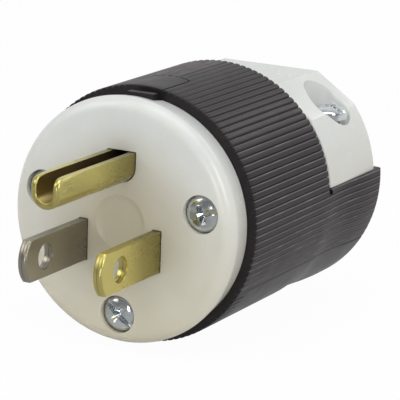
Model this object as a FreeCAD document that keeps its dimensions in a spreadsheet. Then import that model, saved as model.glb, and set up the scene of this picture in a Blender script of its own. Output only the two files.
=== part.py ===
import FreeCAD, Part
import math
import os
import re
import Sketcher

# Straight-blade cord plug with two flat blades and a grounding pin, in millimetres.
# The blades point to -Y, the cord leaves to +Y, and +Z is up, towards the grounding pin.
# The origin is the middle of the face that meets the outlet.

os.makedirs("parts", exist_ok=True)
doc = FreeCAD.newDocument("plug")
Vector = FreeCAD.Vector
Rotation = FreeCAD.Rotation

# Driving dimensions: alias, value or formula, meaning
SIZES = [
    ("barrel_radius", 19.92, "over the ribs of the barrel"),
    ("blade_spacing", 12.7, "between the middles of the two flat blades"),
    ("blade_width", 6.35, "flat blade, up and down"),
    ("blade_thick", 1.52, "flat blade, both folded layers"),
    ("blade_reach", 17.1, "flat blade tip in front of the face"),
    ("blade_drop", 3.52, "middle of the flat blades below the barrel axis"),
    ("blade_hole_radius", 1.98, "hole through a flat blade"),
    ("blade_hole_reach", 11.7, "hole in front of the face"),
    ("blade_tip_radius", 4.4, "curve of a blade tip, seen from the side"),
    ("blade_corner_round", 0.5, "upper and lower corner of a blade tip"),
    ("blade_edge_bevel", 0.35, "bevel along the tip edges"),
    ("seam_width", 0.26, "groove between the folded layers"),
    ("seam_depth", 0.24, "groove between the folded layers"),
    ("pin_rise", 11.89, "grounding pin above the middle of the flat blades"),
    ("pin_width", 4.75, "grounding pin, side to side"),
    ("pin_wall", 1.0, "strip that the grounding pin is bent from"),
    ("pin_wall_rise", 2.6, "pin walls above the pin middle"),
    ("pin_belly_drop", 2.1, "pin belly below the pin middle"),
    ("pin_reach", 21.4, "grounding pin tip in front of the face"),
    ("pin_tip_round", 1.5, "front upper corner of each pin wall"),
    ("pin_tip_bevel", 0.5, "bevel around the outside of the pin tip"),
    ("pin_neck", 1.6, "channel behind the wall of the face"),
    ("ground_inset", 7.13, "flat strip of the ground terminal, in from the spigot's side"),
    ("ground_thick", 1.2, "flat strip of the ground terminal"),
    ("slot_clear", 0.16, "around each flat blade where it leaves the face"),
    ("pin_clear", 0.1, "around the grounding pin where it leaves the face"),
    ("bump_radius", 0.5, "small half-round ribs that hold a flat blade in its slot"),
    ("bump_offset", 1.65, "those ribs above and below the blade middle"),
    ("bump_gap", 0.04, "between a rib and the blade"),
    ("shoulder_half", 5.0, "contact shoulder behind the face, half its height"),
    ("terminal_half", 3.8, "terminal end of a contact, half its height"),
    ("terminal_end", 21.0, "rear end of the contacts"),
    ("terminal_screw_reach", 17.0, "terminal screws behind the face"),
    ("terminal_screw_radius", 1.6, "terminal screw shank"),
    ("terminal_head_radius", 3.0, "terminal screw head"),
    ("terminal_head_height", 1.9, "terminal screw head"),
    ("terminal_shank_past", 1.0, "terminal screw past the contact"),
    ("pressure_thick", 1.2, "pressure plate under a terminal screw"),
    ("pressure_half", 3.4, "pressure plate, half its height"),
    ("pressure_length", 6.4, "pressure plate along the plug"),
    ("pressure_lip", 0.9, "turned-down rear lip of a pressure plate"),
    ("cap_nose_inset", 0.92, "widest part of the white cap, inside the barrel's outline"),
    ("cap_foot_inset", 1.57, "white cap where it meets the barrel, inside the barrel's outline"),
    ("cap_nose_radius", "=barrel_radius - cap_nose_inset", "widest part of the white cap"),
    ("cap_foot_radius", "=barrel_radius - cap_foot_inset", "white cap where it meets the barrel"),
    ("cap_round", 1.9, "rounded rim of the face"),
    ("cap_height", 6.0, "face to the front of the barrel"),
    ("face_wall", 4.5, "wall behind the face"),
    ("barrel_wall", 2.62, "wall of the barrel with the clearance inside it"),
    ("spigot_radius", "=barrel_radius - barrel_wall", "part of the cap inside the barrel"),
    ("spigot_end", 11.0, "rear edge of the cap"),
    ("spigot_wall", 1.9, "wall of the spigot"),
    ("post_radius", 3.7, "posts in the cap around the assembly screws"),
    ("dimple_radius", 4.35, "shallow round depression in the face"),
    ("dimple_depth", 0.3, "shallow round depression in the face"),
    ("dimple_slope", 0.7, "sloped edge of that depression"),
    ("side_screw_inset", 3.7, "side assembly screws, in from the spigot's side"),
    ("side_screw_out", "=spigot_radius - side_screw_inset", "side assembly screws, out from the axis"),
    ("side_screw_rise", 3.2, "side assembly screws above the axis"),
    ("low_screw_inset", 2.9, "lower assembly screw, in from the spigot's side"),
    ("low_screw_drop", "=spigot_radius - low_screw_inset", "lower assembly screw below the axis"),
    ("recess_radius", 2.95, "recess for a screw head in the face"),
    ("recess_depth", 2.05, "recess for a screw head in the face"),
    ("assembly_head_radius", 2.8, "assembly screw head"),
    ("assembly_head_height", 2.0, "assembly screw head"),
    ("assembly_shank_radius", 1.7, "assembly screw shank"),
    ("shank_past", 0.5, "screw past the rear of its insert"),
    ("screw_clear", 0.2, "around a screw shank in a plain hole"),
    ("thread_clear", 0.03, "around a screw shank in its thread"),
    ("barrier_thick", 2.4, "disc of the terminal barrier"),
    ("barrier_wall", 1.6, "upright walls of the terminal barrier"),
    ("barrier_end", 23.4, "rear edge of the barrier walls"),
    ("barrier_inset", 1.9, "ends of the upper barrier walls, in from the spigot's side"),
    ("barrier_arm", "=spigot_radius - barrier_inset", "reach of the two upper barrier walls"),
    ("barrier_angle", 47.0, "upper barrier walls above the horizontal"),
    ("fit_gap", 0.1, "between parts that slide together"),
    ("barrel_end", 31.06, "rear edge of the full round of the barrel"),
    ("bulkhead", 2.4, "wall across the rear of the barrel, and tail walls"),
    ("boss_radius", 3.8, "screw bosses inside the barrel and tail"),
    ("boss_gap", 0.4, "between the lower barrier wall and the boss below it"),
    ("barrier_low_arm", "=low_screw_drop - boss_radius - boss_gap", "reach of the lower barrier wall"),
    ("insert_radius", 2.6, "metal inserts, outside"),
    ("insert_length", 7.5, "metal inserts"),
    ("waist_inset", 0.2, "narrowest part of the tail, inside the barrel's outline"),
    ("waist_radius", "=barrel_radius - waist_inset", "narrowest part of the tail"),
    ("waist_place", 36.5, "narrowest part of the tail, behind the face"),
    ("flare_swell", 0.33, "widest part of the tail, outside the barrel's outline"),
    ("flare_radius", "=barrel_radius + flare_swell", "widest part of the tail"),
    ("flare_place", 46.2, "widest part of the tail, behind the face"),
    ("tail_end", 50.3, "rear end of the tail"),
    ("tail_round", 1.0, "rounded rear edge of the tail"),
    ("tail_wall", 2.4, "shell of the tail"),
    ("split_rise", 1.7, "joint between tail and clamp above the axis"),
    ("cord_radius", 9.2, "opening for the cord"),
    ("wire_radius", 8.6, "opening for the wires in the rear wall of the barrel"),
    ("rib_count", 114, "ribs around the barrel"),
    ("rib_depth", 0.25, "grooves between the ribs"),
    ("rib_groove", 0.36, "width of a groove between ribs"),
    ("smooth_from", 31.2, "ribs stop this far below the horizontal, in degrees"),
    ("smooth_start", 8.6, "front end of the smooth underside"),
    ("thumb_half", 3.4, "smooth patch behind the key tab, half its width"),
    ("thumb_end", 14.9, "smooth patch behind the key tab, rear end"),
    ("thumb_bow_radius", 8.0, "curve of that rear end"),
    ("thumb_groove", 0.35, "groove around the rear end of that patch"),
    ("tab_middle", 0.8, "key tab, sideways from the axis"),
    ("tab_width", 4.1, "key tab"),
    ("tab_front", 3.3, "front of the key tab behind the face"),
    ("tab_lip", 1.3, "raised front part of the key tab, along the plug"),
    ("tab_neck", 0.5, "thin part that joins the key tab to the barrel"),
    ("tab_top_inset", 0.57, "top of the key tab, inside the barrel's outline"),
    ("tab_thick", 1.3, "key tab, underside to top"),
    ("tab_top", "=barrel_radius - tab_top_inset", "top of the key tab above the axis"),
    ("tab_low", "=tab_top - tab_thick", "underside of the key tab above the axis"),
    ("tab_clear", 0.12, "around the key tab in its notch"),
    ("tab_root", 1.5, "key tab inside the barrel wall"),
    ("clamp_gap", 0.85, "open joint between the barrel and the cord clamp"),
    ("clamp_front", "=barrel_end + clamp_gap", "front of the cord clamp"),
    ("joint_notch", 0.9, "small notch where that joint meets the tail"),
    ("clamp_rear", 49.0, "rear of the cord clamp"),
    ("clamp_inset", 0.37, "round ears of the cord clamp, inside the barrel's outline"),
    ("clamp_radius", "=barrel_radius - clamp_inset", "round ears of the cord clamp"),
    ("clamp_flat_half", 8.4, "flat top of the cord clamp, half its width"),
    ("clamp_flat_cut", 2.75, "flat top below the round of the ears"),
    ("clamp_flat_rise", "=clamp_radius - clamp_flat_cut", "flat top of the cord clamp above the axis"),
    ("clamp_ear_angle", 38.0, "where the slant meets the round ear, in degrees"),
    ("clamp_edge_round", 0.9, "rear outer edge of the clamp"),
    ("clamp_fold_round", 1.0, "folds between the flat top and the slants"),
    ("clamp_ear_round", 2.5, "folds between the slants and the ears"),
    ("clamp_wall", 5.35, "wall of the clamp where it is round"),
    ("clamp_room_radius", "=clamp_radius - clamp_wall", "hollow inside the clamp"),
    ("clamp_screw_inset", 5.85, "clamp screws, in from the round of the ears"),
    ("clamp_screw_out", "=clamp_radius - clamp_screw_inset", "clamp screws, out from the axis"),
    ("clamp_screw_place", 42.3, "clamp screws behind the face"),
    ("clamp_seat_depth", 6.3, "seat of the clamp screw heads below the flat top"),
    ("clamp_seat_rise", "=clamp_flat_rise - clamp_seat_depth", "that seat above the axis"),
    ("pocket_radius", 3.7, "pocket for a clamp screw head, at its seat"),
    ("pocket_mouth", 4.3, "the same pocket at its mouth"),
    ("pocket_floor", 1.3, "wall around that pocket inside the clamp"),
    ("clamp_head_radius", 3.0, "clamp screw head"),
    ("clamp_head_height", 2.1, "clamp screw head"),
    ("jaw_half", 1.6, "front of the cord jaws before the clamp screws"),
    ("cross_width", 0.9, "cross recess of a screw head"),
    ("cross_reach", 1.5, "cross recess of a screw head, half its length"),
    ("cross_depth", 1.2, "cross recess of a screw head"),
    ("slot_depth", 0.7, "straight slot of a screw head"),
    ("screw_point", 0.4, "bevel at the end of a screw"),
    ("head_rim", 0.45, "upright rim of a screw head, as a share of its height"),
    ("head_flat", 0.62, "flat top of a screw head, as a share of its radius"),
    ("overrun", 1.0, "how far a cutting form runs past what it cuts"),
]

sheet = doc.addObject("Spreadsheet::Sheet", "Sizes")
for row, (alias, value, meaning) in enumerate(SIZES, start=1):
    sheet.set("A%d" % row, alias)
    sheet.set("B%d" % row, str(value))
    sheet.set("C%d" % row, meaning)
    sheet.setAlias("B%d" % row, alias)
doc.recompute()

ALIASES = {alias for alias, value, meaning in SIZES}


# Expressions are written with bare aliases and get the sheet's name here.
def linked(text):
    def full(match):
        word = match.group(0)
        return "Sizes." + word if word in ALIASES else word
    return re.sub(r"[a-z_]+", full, text)


def value_of(text):
    return float(sheet.evalExpression(text))


def bind(thing, **links):
    for name, text in links.items():
        thing.setExpression(name, linked(text))


def place(thing, at=("0", "0", "0"), turn=None):
    if turn is not None:
        thing.Placement = FreeCAD.Placement(Vector(0, 0, 0), turn)
    for axis, text in zip("xyz", at):
        thing.setExpression("Placement.Base." + axis, linked(text))
    return thing


ROUND_STEPS = 3

UPRIGHT = Rotation()
ALONG = Rotation(Vector(1, 0, 0), -90)
FACING = Rotation(Vector(1, 0, 0), 90)
TO_RIGHT = Rotation(Vector(0, 1, 0), 90)
TO_LEFT = Rotation(Vector(0, 1, 0), -90)


def box(name, width, depth, height, at):
    thing = doc.addObject("Part::Box", name)
    bind(thing, Length=width, Width=depth, Height=height)
    return place(thing, at)


def rod(name, radius, length, at, turn=ALONG):
    thing = doc.addObject("Part::Cylinder", name)
    bind(thing, Radius=radius, Height=length)
    return place(thing, at, turn)


def fuse(name, things):
    thing = doc.addObject("Part::MultiFuse", name)
    thing.Shapes = things
    return thing


def cut(name, base, tools):
    thing = doc.addObject("Part::Cut", name)
    thing.Base = base
    thing.Tool = tools[0] if len(tools) == 1 else fuse(name + "_tools", tools)
    return thing


def common(name, first, second):
    thing = doc.addObject("Part::Common", name)
    thing.Base = first
    thing.Tool = second
    return thing


NODES = []


# A finished piece: its label names its file.
def finish(thing, label):
    thing.Label = label
    NODES.append(thing)
    return thing


def new_body(name):
    return doc.addObject("PartDesign::Body", name)


def sketch(body, role, name, lift="0"):
    planes = [o for o in body.Origin.OriginFeatures if o.Role == role]
    made = body.newObject("Sketcher::SketchObject", name)
    made.AttachmentSupport = [(planes[0], "")]
    made.MapMode = "FlatFace"
    made.setExpression("AttachmentOffset.Base.z", linked(lift))
    return made


# A closed outline through corners given as expressions. An entry in arcs turns the edge that
# starts at that corner into an arc: its way round, and one coordinate of its centre.
def outline(sk, corners, arcs=None):
    arcs = arcs or {}
    spots = [Vector(value_of(a), value_of(b), 0) for a, b in corners]
    first = len(sk.Geometry)
    ends = []
    for i, start in enumerate(spots):
        stop = spots[(i + 1) % len(spots)]
        if i not in arcs:
            sk.addGeometry(Part.LineSegment(start, stop), False)
            ends.append((1, 2))
            continue
        way, axis, text = arcs[i]
        across = stop - start
        half = (stop.Length ** 2 - start.Length ** 2) / 2
        known = value_of(text)
        if axis == "x":
            centre = Vector(known, (half - known * across.x) / across.y, 0)
        else:
            centre = Vector((half - known * across.y) / across.x, known, 0)
        low, high = (start, stop) if way == "left" else (stop, start)
        angles = [math.atan2(p.y - centre.y, p.x - centre.x) for p in (low, high)]
        round_line = Part.Circle(centre, Vector(0, 0, 1), (start - centre).Length)
        sk.addGeometry(Part.ArcOfCircle(round_line, angles[0], angles[1]), False)
        ends.append((1, 2) if way == "left" else (2, 1))
    count = len(spots)
    for i in range(count):
        after = (i + 1) % count
        joint = Sketcher.Constraint("Coincident", first + i, ends[i][1], first + after, ends[after][0])
        sk.addConstraint(joint)
    for i, (a, b) in enumerate(corners):
        fix(sk, "DistanceX", first + i, ends[i][0], a)
        fix(sk, "DistanceY", first + i, ends[i][0], b)
    for i, (way, axis, text) in arcs.items():
        fix(sk, "DistanceX" if axis == "x" else "DistanceY", first + i, 3, text)
    return sk


# Holds one coordinate of a point of a sketch at an expression's value.
def fix(sk, kind, edge, point, text):
    number = sk.addConstraint(Sketcher.Constraint(kind, -1, 1, edge, point, value_of(text)))
    sk.setExpression("Constraints[%d]" % number, linked(text))


def circle(sk, x, y, radius):
    ring = Part.Circle(Vector(value_of(x), value_of(y), 0), Vector(0, 0, 1), value_of(radius))
    number = sk.addGeometry(ring, False)
    fix(sk, "DistanceX", number, 3, x)
    fix(sk, "DistanceY", number, 3, y)
    mark = sk.addConstraint(Sketcher.Constraint("Radius", number, value_of(radius)))
    sk.setExpression("Constraints[%d]" % mark, linked(radius))
    return sk


def pad(body, sk, name, length, reverse=False, middle=False):
    made = body.newObject("PartDesign::Pad", name)
    made.Profile = sk
    made.setExpression("Length", linked(length))
    made.Reversed = reverse
    made.Midplane = middle
    return made


def pocket(body, sk, name, length, reverse=False, middle=False):
    made = body.newObject("PartDesign::Pocket", name)
    made.Profile = sk
    made.setExpression("Length", linked(length))
    made.Reversed = reverse
    made.Midplane = middle
    return made


# Corners of a quarter round about a centre, from its side to its end, in a few flat steps. A
# negative size rounds towards the front of the plug.
def quarter_round(out, along, size):
    reach = "abs(%s)" % size
    turns = [90 * i / ROUND_STEPS for i in range(ROUND_STEPS + 1)]
    return [("%s + %s * cos(%g)" % (out, reach, a), "%s + %s * sin(%g)" % (along, size, a)) for a in turns]


# Turns a profile in the XY plane, x as radius, once about the Y axis.
def revolve(body, sk, name):
    made = body.newObject("PartDesign::Revolution", name)
    made.Profile = sk
    made.ReferenceAxis = (sk, ["V_Axis"])
    made.Angle = 360
    return made


# Names of the edges of a feature whose middle meets the test.
def edges_where(feature, test):
    doc.recompute()
    found = []
    for number, edge in enumerate(feature.Shape.Edges, start=1):
        middle = edge.valueAt((edge.FirstParameter + edge.LastParameter) / 2)
        if test(middle, edge):
            found.append("Edge%d" % number)
    return found


def round_edges(body, feature, name, names, radius):
    made = body.newObject("PartDesign::Fillet", name)
    made.Base = (feature, names)
    made.setExpression("Radius", linked(radius))
    return made


def bevel_edges(body, feature, name, names, size):
    made = body.newObject("PartDesign::Chamfer", name)
    made.Base = (feature, names)
    made.setExpression("Size", linked(size))
    return made


def near(a, b):
    return abs(a - b) < 0.01


# Places that several pieces share
PIN_RISE = "(pin_rise - blade_drop)"
PIN_ROUND_RISE = "(pin_rise - blade_drop - pin_belly_drop + pin_width / 2)"
PIN_TOP = "(pin_rise - blade_drop + pin_wall_rise)"
ASSEMBLY_SPOTS = {
    "left": ("-side_screw_out", "side_screw_rise"),
    "right": ("side_screw_out", "side_screw_rise"),
    "lower": ("0", "-low_screw_drop"),
}
BOSS_FRONT = "(spigot_end + barrier_thick + fit_gap)"
ASSEMBLY_SHANK = "(spigot_end + barrier_thick + fit_gap + insert_length + shank_past - recess_depth)"
CLAMP_SHANK = "(clamp_seat_rise - split_rise + insert_length + shank_past)"
GROUND_PLATE = "(spigot_radius - ground_inset)"


# The arc of a blade tip, seen from the side: its centre and its ends, along the plug
TIP_CENTRE = "(blade_tip_radius - blade_reach)"
TIP_CORNER = "(blade_tip_radius - blade_reach - sqrt(blade_tip_radius ^ 2 - (blade_width / 2) ^ 2))"


# Flat blade: one folded strip with a shoulder and a terminal end, made in its own middle plane.
def flat_contact(label, side):
    body = new_body(label)
    sk = sketch(body, "YZ_Plane", label + "_outline")
    half = "blade_width / 2"
    outline(sk, [
        (TIP_CORNER, "-blade_drop - " + half),
        ("face_wall", "-blade_drop - " + half),
        ("face_wall", "-blade_drop - shoulder_half"),
        ("spigot_end - fit_gap", "-blade_drop - shoulder_half"),
        ("spigot_end - fit_gap", "-blade_drop - terminal_half"),
        ("terminal_end", "-blade_drop - terminal_half"),
        ("terminal_end", "-blade_drop + terminal_half"),
        ("spigot_end - fit_gap", "-blade_drop + terminal_half"),
        ("spigot_end - fit_gap", "-blade_drop + shoulder_half"),
        ("face_wall", "-blade_drop + shoulder_half"),
        ("face_wall", "-blade_drop + " + half),
        (TIP_CORNER, "-blade_drop + " + half),
    ], {11: ("left", "x", TIP_CENTRE)})
    plate = pad(body, sk, label + "_plate", "blade_thick", middle=True)
    corner = value_of(TIP_CORNER)
    names = edges_where(plate, lambda m, e: near(m.x, 0) and near(m.y, corner))
    rounded = round_edges(body, plate, label + "_corners", names, "blade_corner_round")
    side_x = value_of("blade_thick / 2")
    past = corner + value_of("blade_corner_round")
    names = edges_where(rounded, lambda m, e: near(abs(m.x), side_x) and m.y < past)
    bevel_edges(body, rounded, label + "_bevel", names, "blade_edge_bevel")
    holes = sketch(body, "YZ_Plane", label + "_holes")
    circle(holes, "-blade_hole_reach", "-blade_drop", "blade_hole_radius")
    circle(holes, "terminal_screw_reach", "-blade_drop", "terminal_screw_radius + thread_clear")
    pocket(body, holes, label + "_hole_cut", "blade_thick * 2", middle=True)
    seam = sketch(body, "YZ_Plane", label + "_seam")
    inner = TIP_CENTRE + " - sqrt((blade_tip_radius - seam_depth) ^ 2 - (%s) ^ 2)"
    rise = "blade_width / 2 - seam_depth"
    outline(seam, [
        (inner % rise, "-blade_drop + " + rise),
        (inner % rise, "-blade_drop - (%s)" % rise),
        ("-blade_reach - seam_depth", "-blade_drop - (%s)" % rise),
        ("-blade_reach - seam_depth", "-blade_drop + " + half + " + seam_depth"),
        ("-slot_clear", "-blade_drop + " + half + " + seam_depth"),
        ("-slot_clear", "-blade_drop + " + rise),
    ], {0: ("left", "x", TIP_CENTRE)})
    pocket(body, seam, label + "_seam_cut", "seam_width", middle=True)
    place(body, (side + "blade_spacing / 2", "0", "0"))
    return finish(body, label)


flat_contact("neutral_blade", "-")
flat_contact("line_blade", "")


# Grounding pin: a strip bent to a channel, open side up, whose rear end is a flat terminal.
def ground_contact():
    body = new_body("ground_pin")
    section = sketch(body, "XZ_Plane", "pin_section", "pin_reach")
    outline(section, [
        ("pin_width / 2", PIN_TOP),
        ("pin_width / 2 - pin_wall", PIN_TOP),
        ("pin_width / 2 - pin_wall", PIN_ROUND_RISE),
        ("pin_wall - pin_width / 2", PIN_ROUND_RISE),
        ("pin_wall - pin_width / 2", PIN_TOP),
        ("-pin_width / 2", PIN_TOP),
        ("-pin_width / 2", PIN_ROUND_RISE),
        ("pin_width / 2", PIN_ROUND_RISE),
    ], {2: ("right", "y", PIN_ROUND_RISE), 6: ("left", "y", PIN_ROUND_RISE)})
    channel = pad(body, section, "pin_channel", "pin_reach + face_wall + pin_neck", reverse=True)
    tip = -value_of("pin_reach")
    top = value_of(PIN_TOP)
    names = edges_where(channel, lambda m, e: near(m.y, tip) and near(m.z, top))
    corners = round_edges(body, channel, "pin_corners", names, "pin_tip_round")
    belly_rise = value_of(PIN_RISE + " - pin_belly_drop")
    side_x = value_of("pin_width / 2")
    past = tip + value_of("pin_tip_round")
    names = edges_where(corners, lambda m, e: near(abs(m.x), side_x) and m.y < past
                        or near(m.y, tip) and near(m.z, belly_rise))
    bevel_edges(body, corners, "pin_tip_edge", names, "pin_tip_bevel")
    strip = sketch(body, "XY_Plane", "ground_strip", GROUND_PLATE)
    outline(strip, [
        ("-shoulder_half", "face_wall"),
        ("shoulder_half", "face_wall"),
        ("shoulder_half", "spigot_end - fit_gap"),
        ("terminal_half", "spigot_end - fit_gap"),
        ("terminal_half", "terminal_end"),
        ("-terminal_half", "terminal_end"),
        ("-terminal_half", "spigot_end - fit_gap"),
        ("-shoulder_half", "spigot_end - fit_gap"),
    ])
    circle(strip, "0", "terminal_screw_reach", "terminal_screw_radius + thread_clear")
    pad(body, strip, "ground_terminal", "ground_thick")
    return finish(body, "ground_pin")


ground_contact()


# White cap: a revolved nose with a spigot behind it, posts for the screws, and the cut-outs.
def front_cap():
    body = new_body("cap_blank")
    profile = sketch(body, "XY_Plane", "cap_profile")
    outline(profile, [
        ("0", "dimple_depth"),
        ("dimple_radius - dimple_slope", "dimple_depth"),
        ("dimple_radius", "0"),
    ] + quarter_round("cap_nose_radius - cap_round", "cap_round", "-1 * cap_round")[::-1] + [
        ("cap_foot_radius", "cap_height"),
        ("spigot_radius", "cap_height"),
        ("spigot_radius", "spigot_end"),
        ("spigot_radius - spigot_wall", "spigot_end"),
        ("spigot_radius - spigot_wall", "face_wall"),
        ("0", "face_wall"),
    ])
    revolve(body, profile, "cap_round_form")
    posts = fuse("cap_posts", [
        rod("cap_post_" + name, "post_radius", "spigot_end - face_wall / 2", (x, "face_wall / 2", z))
        for name, (x, z) in ASSEMBLY_SPOTS.items()
    ])
    inside = rod("cap_inside", "spigot_radius", "spigot_end", ("0", "0", "0"))
    blank = fuse("cap_with_posts", [body, common("cap_posts_trimmed", posts, inside)])
    tools = []
    for name, side in (("neutral", "-"), ("line", "")):
        tools.append(blade_slot(name, side + "blade_spacing / 2"))
    tools.append(pin_slot())
    for name, (x, z) in ASSEMBLY_SPOTS.items():
        tools.append(rod("recess_" + name, "recess_radius", "recess_depth + overrun", (x, "-overrun", z)))
        hole = "assembly_shank_radius + screw_clear"
        tools.append(rod("cap_hole_" + name, hole, "spigot_end + overrun", (x, "0", z)))
    notch_left = "tab_middle - tab_width / 2 - tab_clear"
    tools.append(box("tab_notch", "tab_width + 2 * tab_clear", "cap_height - tab_front + tab_clear",
                     "cap_nose_radius", (notch_left, "tab_front - tab_clear", "tab_low - tab_clear")))
    return finish(cut("front_cap", blank, tools), "front_cap")


# Slot of one flat blade, with two small ribs on its right side that hold the blade.
def blade_slot(name, middle):
    depth = "face_wall + 2 * overrun"
    slot = box(name + "_slot", "blade_thick + 2 * slot_clear", depth, "blade_width + 2 * slot_clear",
               (middle + " - blade_thick / 2 - slot_clear", "-overrun",
                "-blade_drop - blade_width / 2 - slot_clear"))
    bump_x = middle + " + blade_thick / 2 + bump_gap + bump_radius"
    bumps = []
    for word, sign in (("upper", "+"), ("lower", "-")):
        bump_z = "-blade_drop " + sign + " bump_offset"
        bumps.append(rod(name + "_bump_" + word, "bump_radius", depth, (bump_x, "-overrun", bump_z)))
    return cut(name + "_slot_with_bumps", slot, bumps)


# Slot of the grounding pin, with a tongue that fills the pin's channel.
def pin_slot():
    outside = rounded_slot("pin_slot_outside", "(pin_width / 2 + pin_clear)")
    tongue = rounded_slot("pin_slot_tongue", "(pin_width / 2 - pin_wall - pin_clear)")
    return cut("pin_slot", outside, [tongue])


def rounded_slot(name, half):
    depth = "face_wall + 2 * overrun"
    belly = rod(name + "_belly", half, depth, ("0", "-overrun", PIN_ROUND_RISE))
    upright = box(name + "_upright", "2 * " + half, depth, PIN_TOP + " - " + PIN_ROUND_RISE + " + pin_clear",
                  ("-1 * " + half, "-overrun", PIN_ROUND_RISE))
    return fuse(name, [belly, upright])


front_cap()


# Terminal barrier: a disc behind the cap that traps the contacts, with walls between them.
def terminal_barrier():
    disc = rod("barrier_disc", "spigot_radius", "barrier_thick", ("0", "spigot_end", "0"))
    length = "barrier_end - spigot_end"
    walls = [box("barrier_low_wall", "barrier_wall", length, "barrier_low_arm",
                 ("-barrier_wall / 2", "spigot_end", "-barrier_low_arm"))]
    for name, angle in (("right", "barrier_angle"), ("left", "(180 - barrier_angle)")):
        wall = box("barrier_%s_wall" % name, "barrier_arm", length, "barrier_wall", ("0", "0", "0"))
        wall.Placement = FreeCAD.Placement(Vector(0, 0, 0), Rotation(Vector(0, 1, 0), -value_of(angle)))
        wall.setExpression("Placement.Rotation.Angle", linked("-1 * " + angle))
        wall.setExpression("Placement.Base.x", linked("barrier_wall / 2 * sin(%s)" % angle))
        wall.setExpression("Placement.Base.y", linked("spigot_end"))
        wall.setExpression("Placement.Base.z", linked("-barrier_wall / 2 * cos(%s)" % angle))
        walls.append(wall)
    tools = []
    deep = "barrier_thick + 2 * overrun"
    front = "spigot_end - overrun"
    tall = "2 * terminal_half + 2 * fit_gap"
    for name, side in (("neutral", "-"), ("line", "")):
        corner = (side + "blade_spacing / 2 - blade_thick / 2 - fit_gap", front,
                  "-blade_drop - terminal_half - fit_gap")
        tools.append(box("barrier_slot_" + name, "blade_thick + 2 * fit_gap", deep, tall, corner))
    corner = ("-terminal_half - fit_gap", front, GROUND_PLATE + " - fit_gap")
    tools.append(box("barrier_slot_ground", tall, deep, "ground_thick + 2 * fit_gap", corner))
    for name, (x, z) in ASSEMBLY_SPOTS.items():
        hole = "assembly_shank_radius + screw_clear"
        tools.append(rod("barrier_hole_" + name, hole, deep, (x, front, z)))
    whole = fuse("barrier_blank", [disc] + walls)
    return finish(cut("terminal_barrier", whole, tools), "terminal_barrier")


terminal_barrier()


# Grooves between the ribs. Each is a three-sided bar that follows the outside of barrel and tail;
# on the underside it is short, and behind the key tab it starts past the smooth patch.
def rib_grooves():
    count = int(round(value_of("rib_count")))
    depth = value_of("rib_depth")
    half_mouth = value_of("rib_groove / 2")
    radius = value_of("barrel_radius")
    front = value_of("cap_height - overrun")
    barrel_line = [(front, radius), (value_of("barrel_end"), radius)]
    tail_line = barrel_line + [
        (value_of("waist_place"), value_of("waist_radius")),
        (value_of("flare_place"), value_of("flare_radius")),
        (value_of("tail_end - tail_round"), value_of("flare_radius")),
    ]
    upper_line = [(front, radius), (value_of("barrel_end + overrun"), radius)]
    lower_line = [(front, radius), (value_of("smooth_start"), radius)]
    bars = []
    for number in range(count):
        angle = (number + 0.5) * 360 / count
        x = radius * math.cos(math.radians(angle))
        z = radius * math.sin(math.radians(angle))
        line = upper_line if z > value_of("split_rise") else tail_line
        if math.degrees(math.asin(-z / radius)) > value_of("smooth_from"):
            line = lower_line
        if z > 0 and abs(x) < value_of("thumb_half"):
            line = [(thumb_edge(x), radius)] + line[1:]
        sections = []
        for y, skin in line:
            deep = skin - depth
            wide = skin + depth
            spread = 2 * half_mouth
            sections.append([Vector(deep, y, 0), Vector(wide, y, spread), Vector(wide, y, -spread)])
        bar = flat_sided_bar(sections)
        bar.rotate(Vector(0, 0, 0), Vector(0, 1, 0), -angle)
        bars.append(bar)
    made = doc.addObject("Part::Feature", "rib_grooves")
    made.Shape = Part.makeCompound(bars)
    made.Placement = FreeCAD.Placement()
    return made


# Solid through a row of like sections, with a flat side for each edge from section to section.
def flat_sided_bar(sections):
    faces = [Part.Face(Part.makePolygon(ring + ring[:1])) for ring in (sections[0], sections[-1])]
    for front, rear in zip(sections, sections[1:]):
        for i in range(len(front)):
            j = (i + 1) % len(front)
            faces.append(Part.Face(Part.makePolygon([front[i], front[j], rear[j], rear[i], front[i]])))
    solid = Part.makeSolid(Part.makeShell(faces))
    if solid.Volume < 0:
        solid.reverse()
    return solid


# Rear edge of the smooth patch behind the key tab, at a distance x from its middle line.
def thumb_edge(x):
    bow = value_of("thumb_bow_radius")
    return value_of("thumb_end") - bow + math.sqrt(bow ** 2 - x ** 2)


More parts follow.
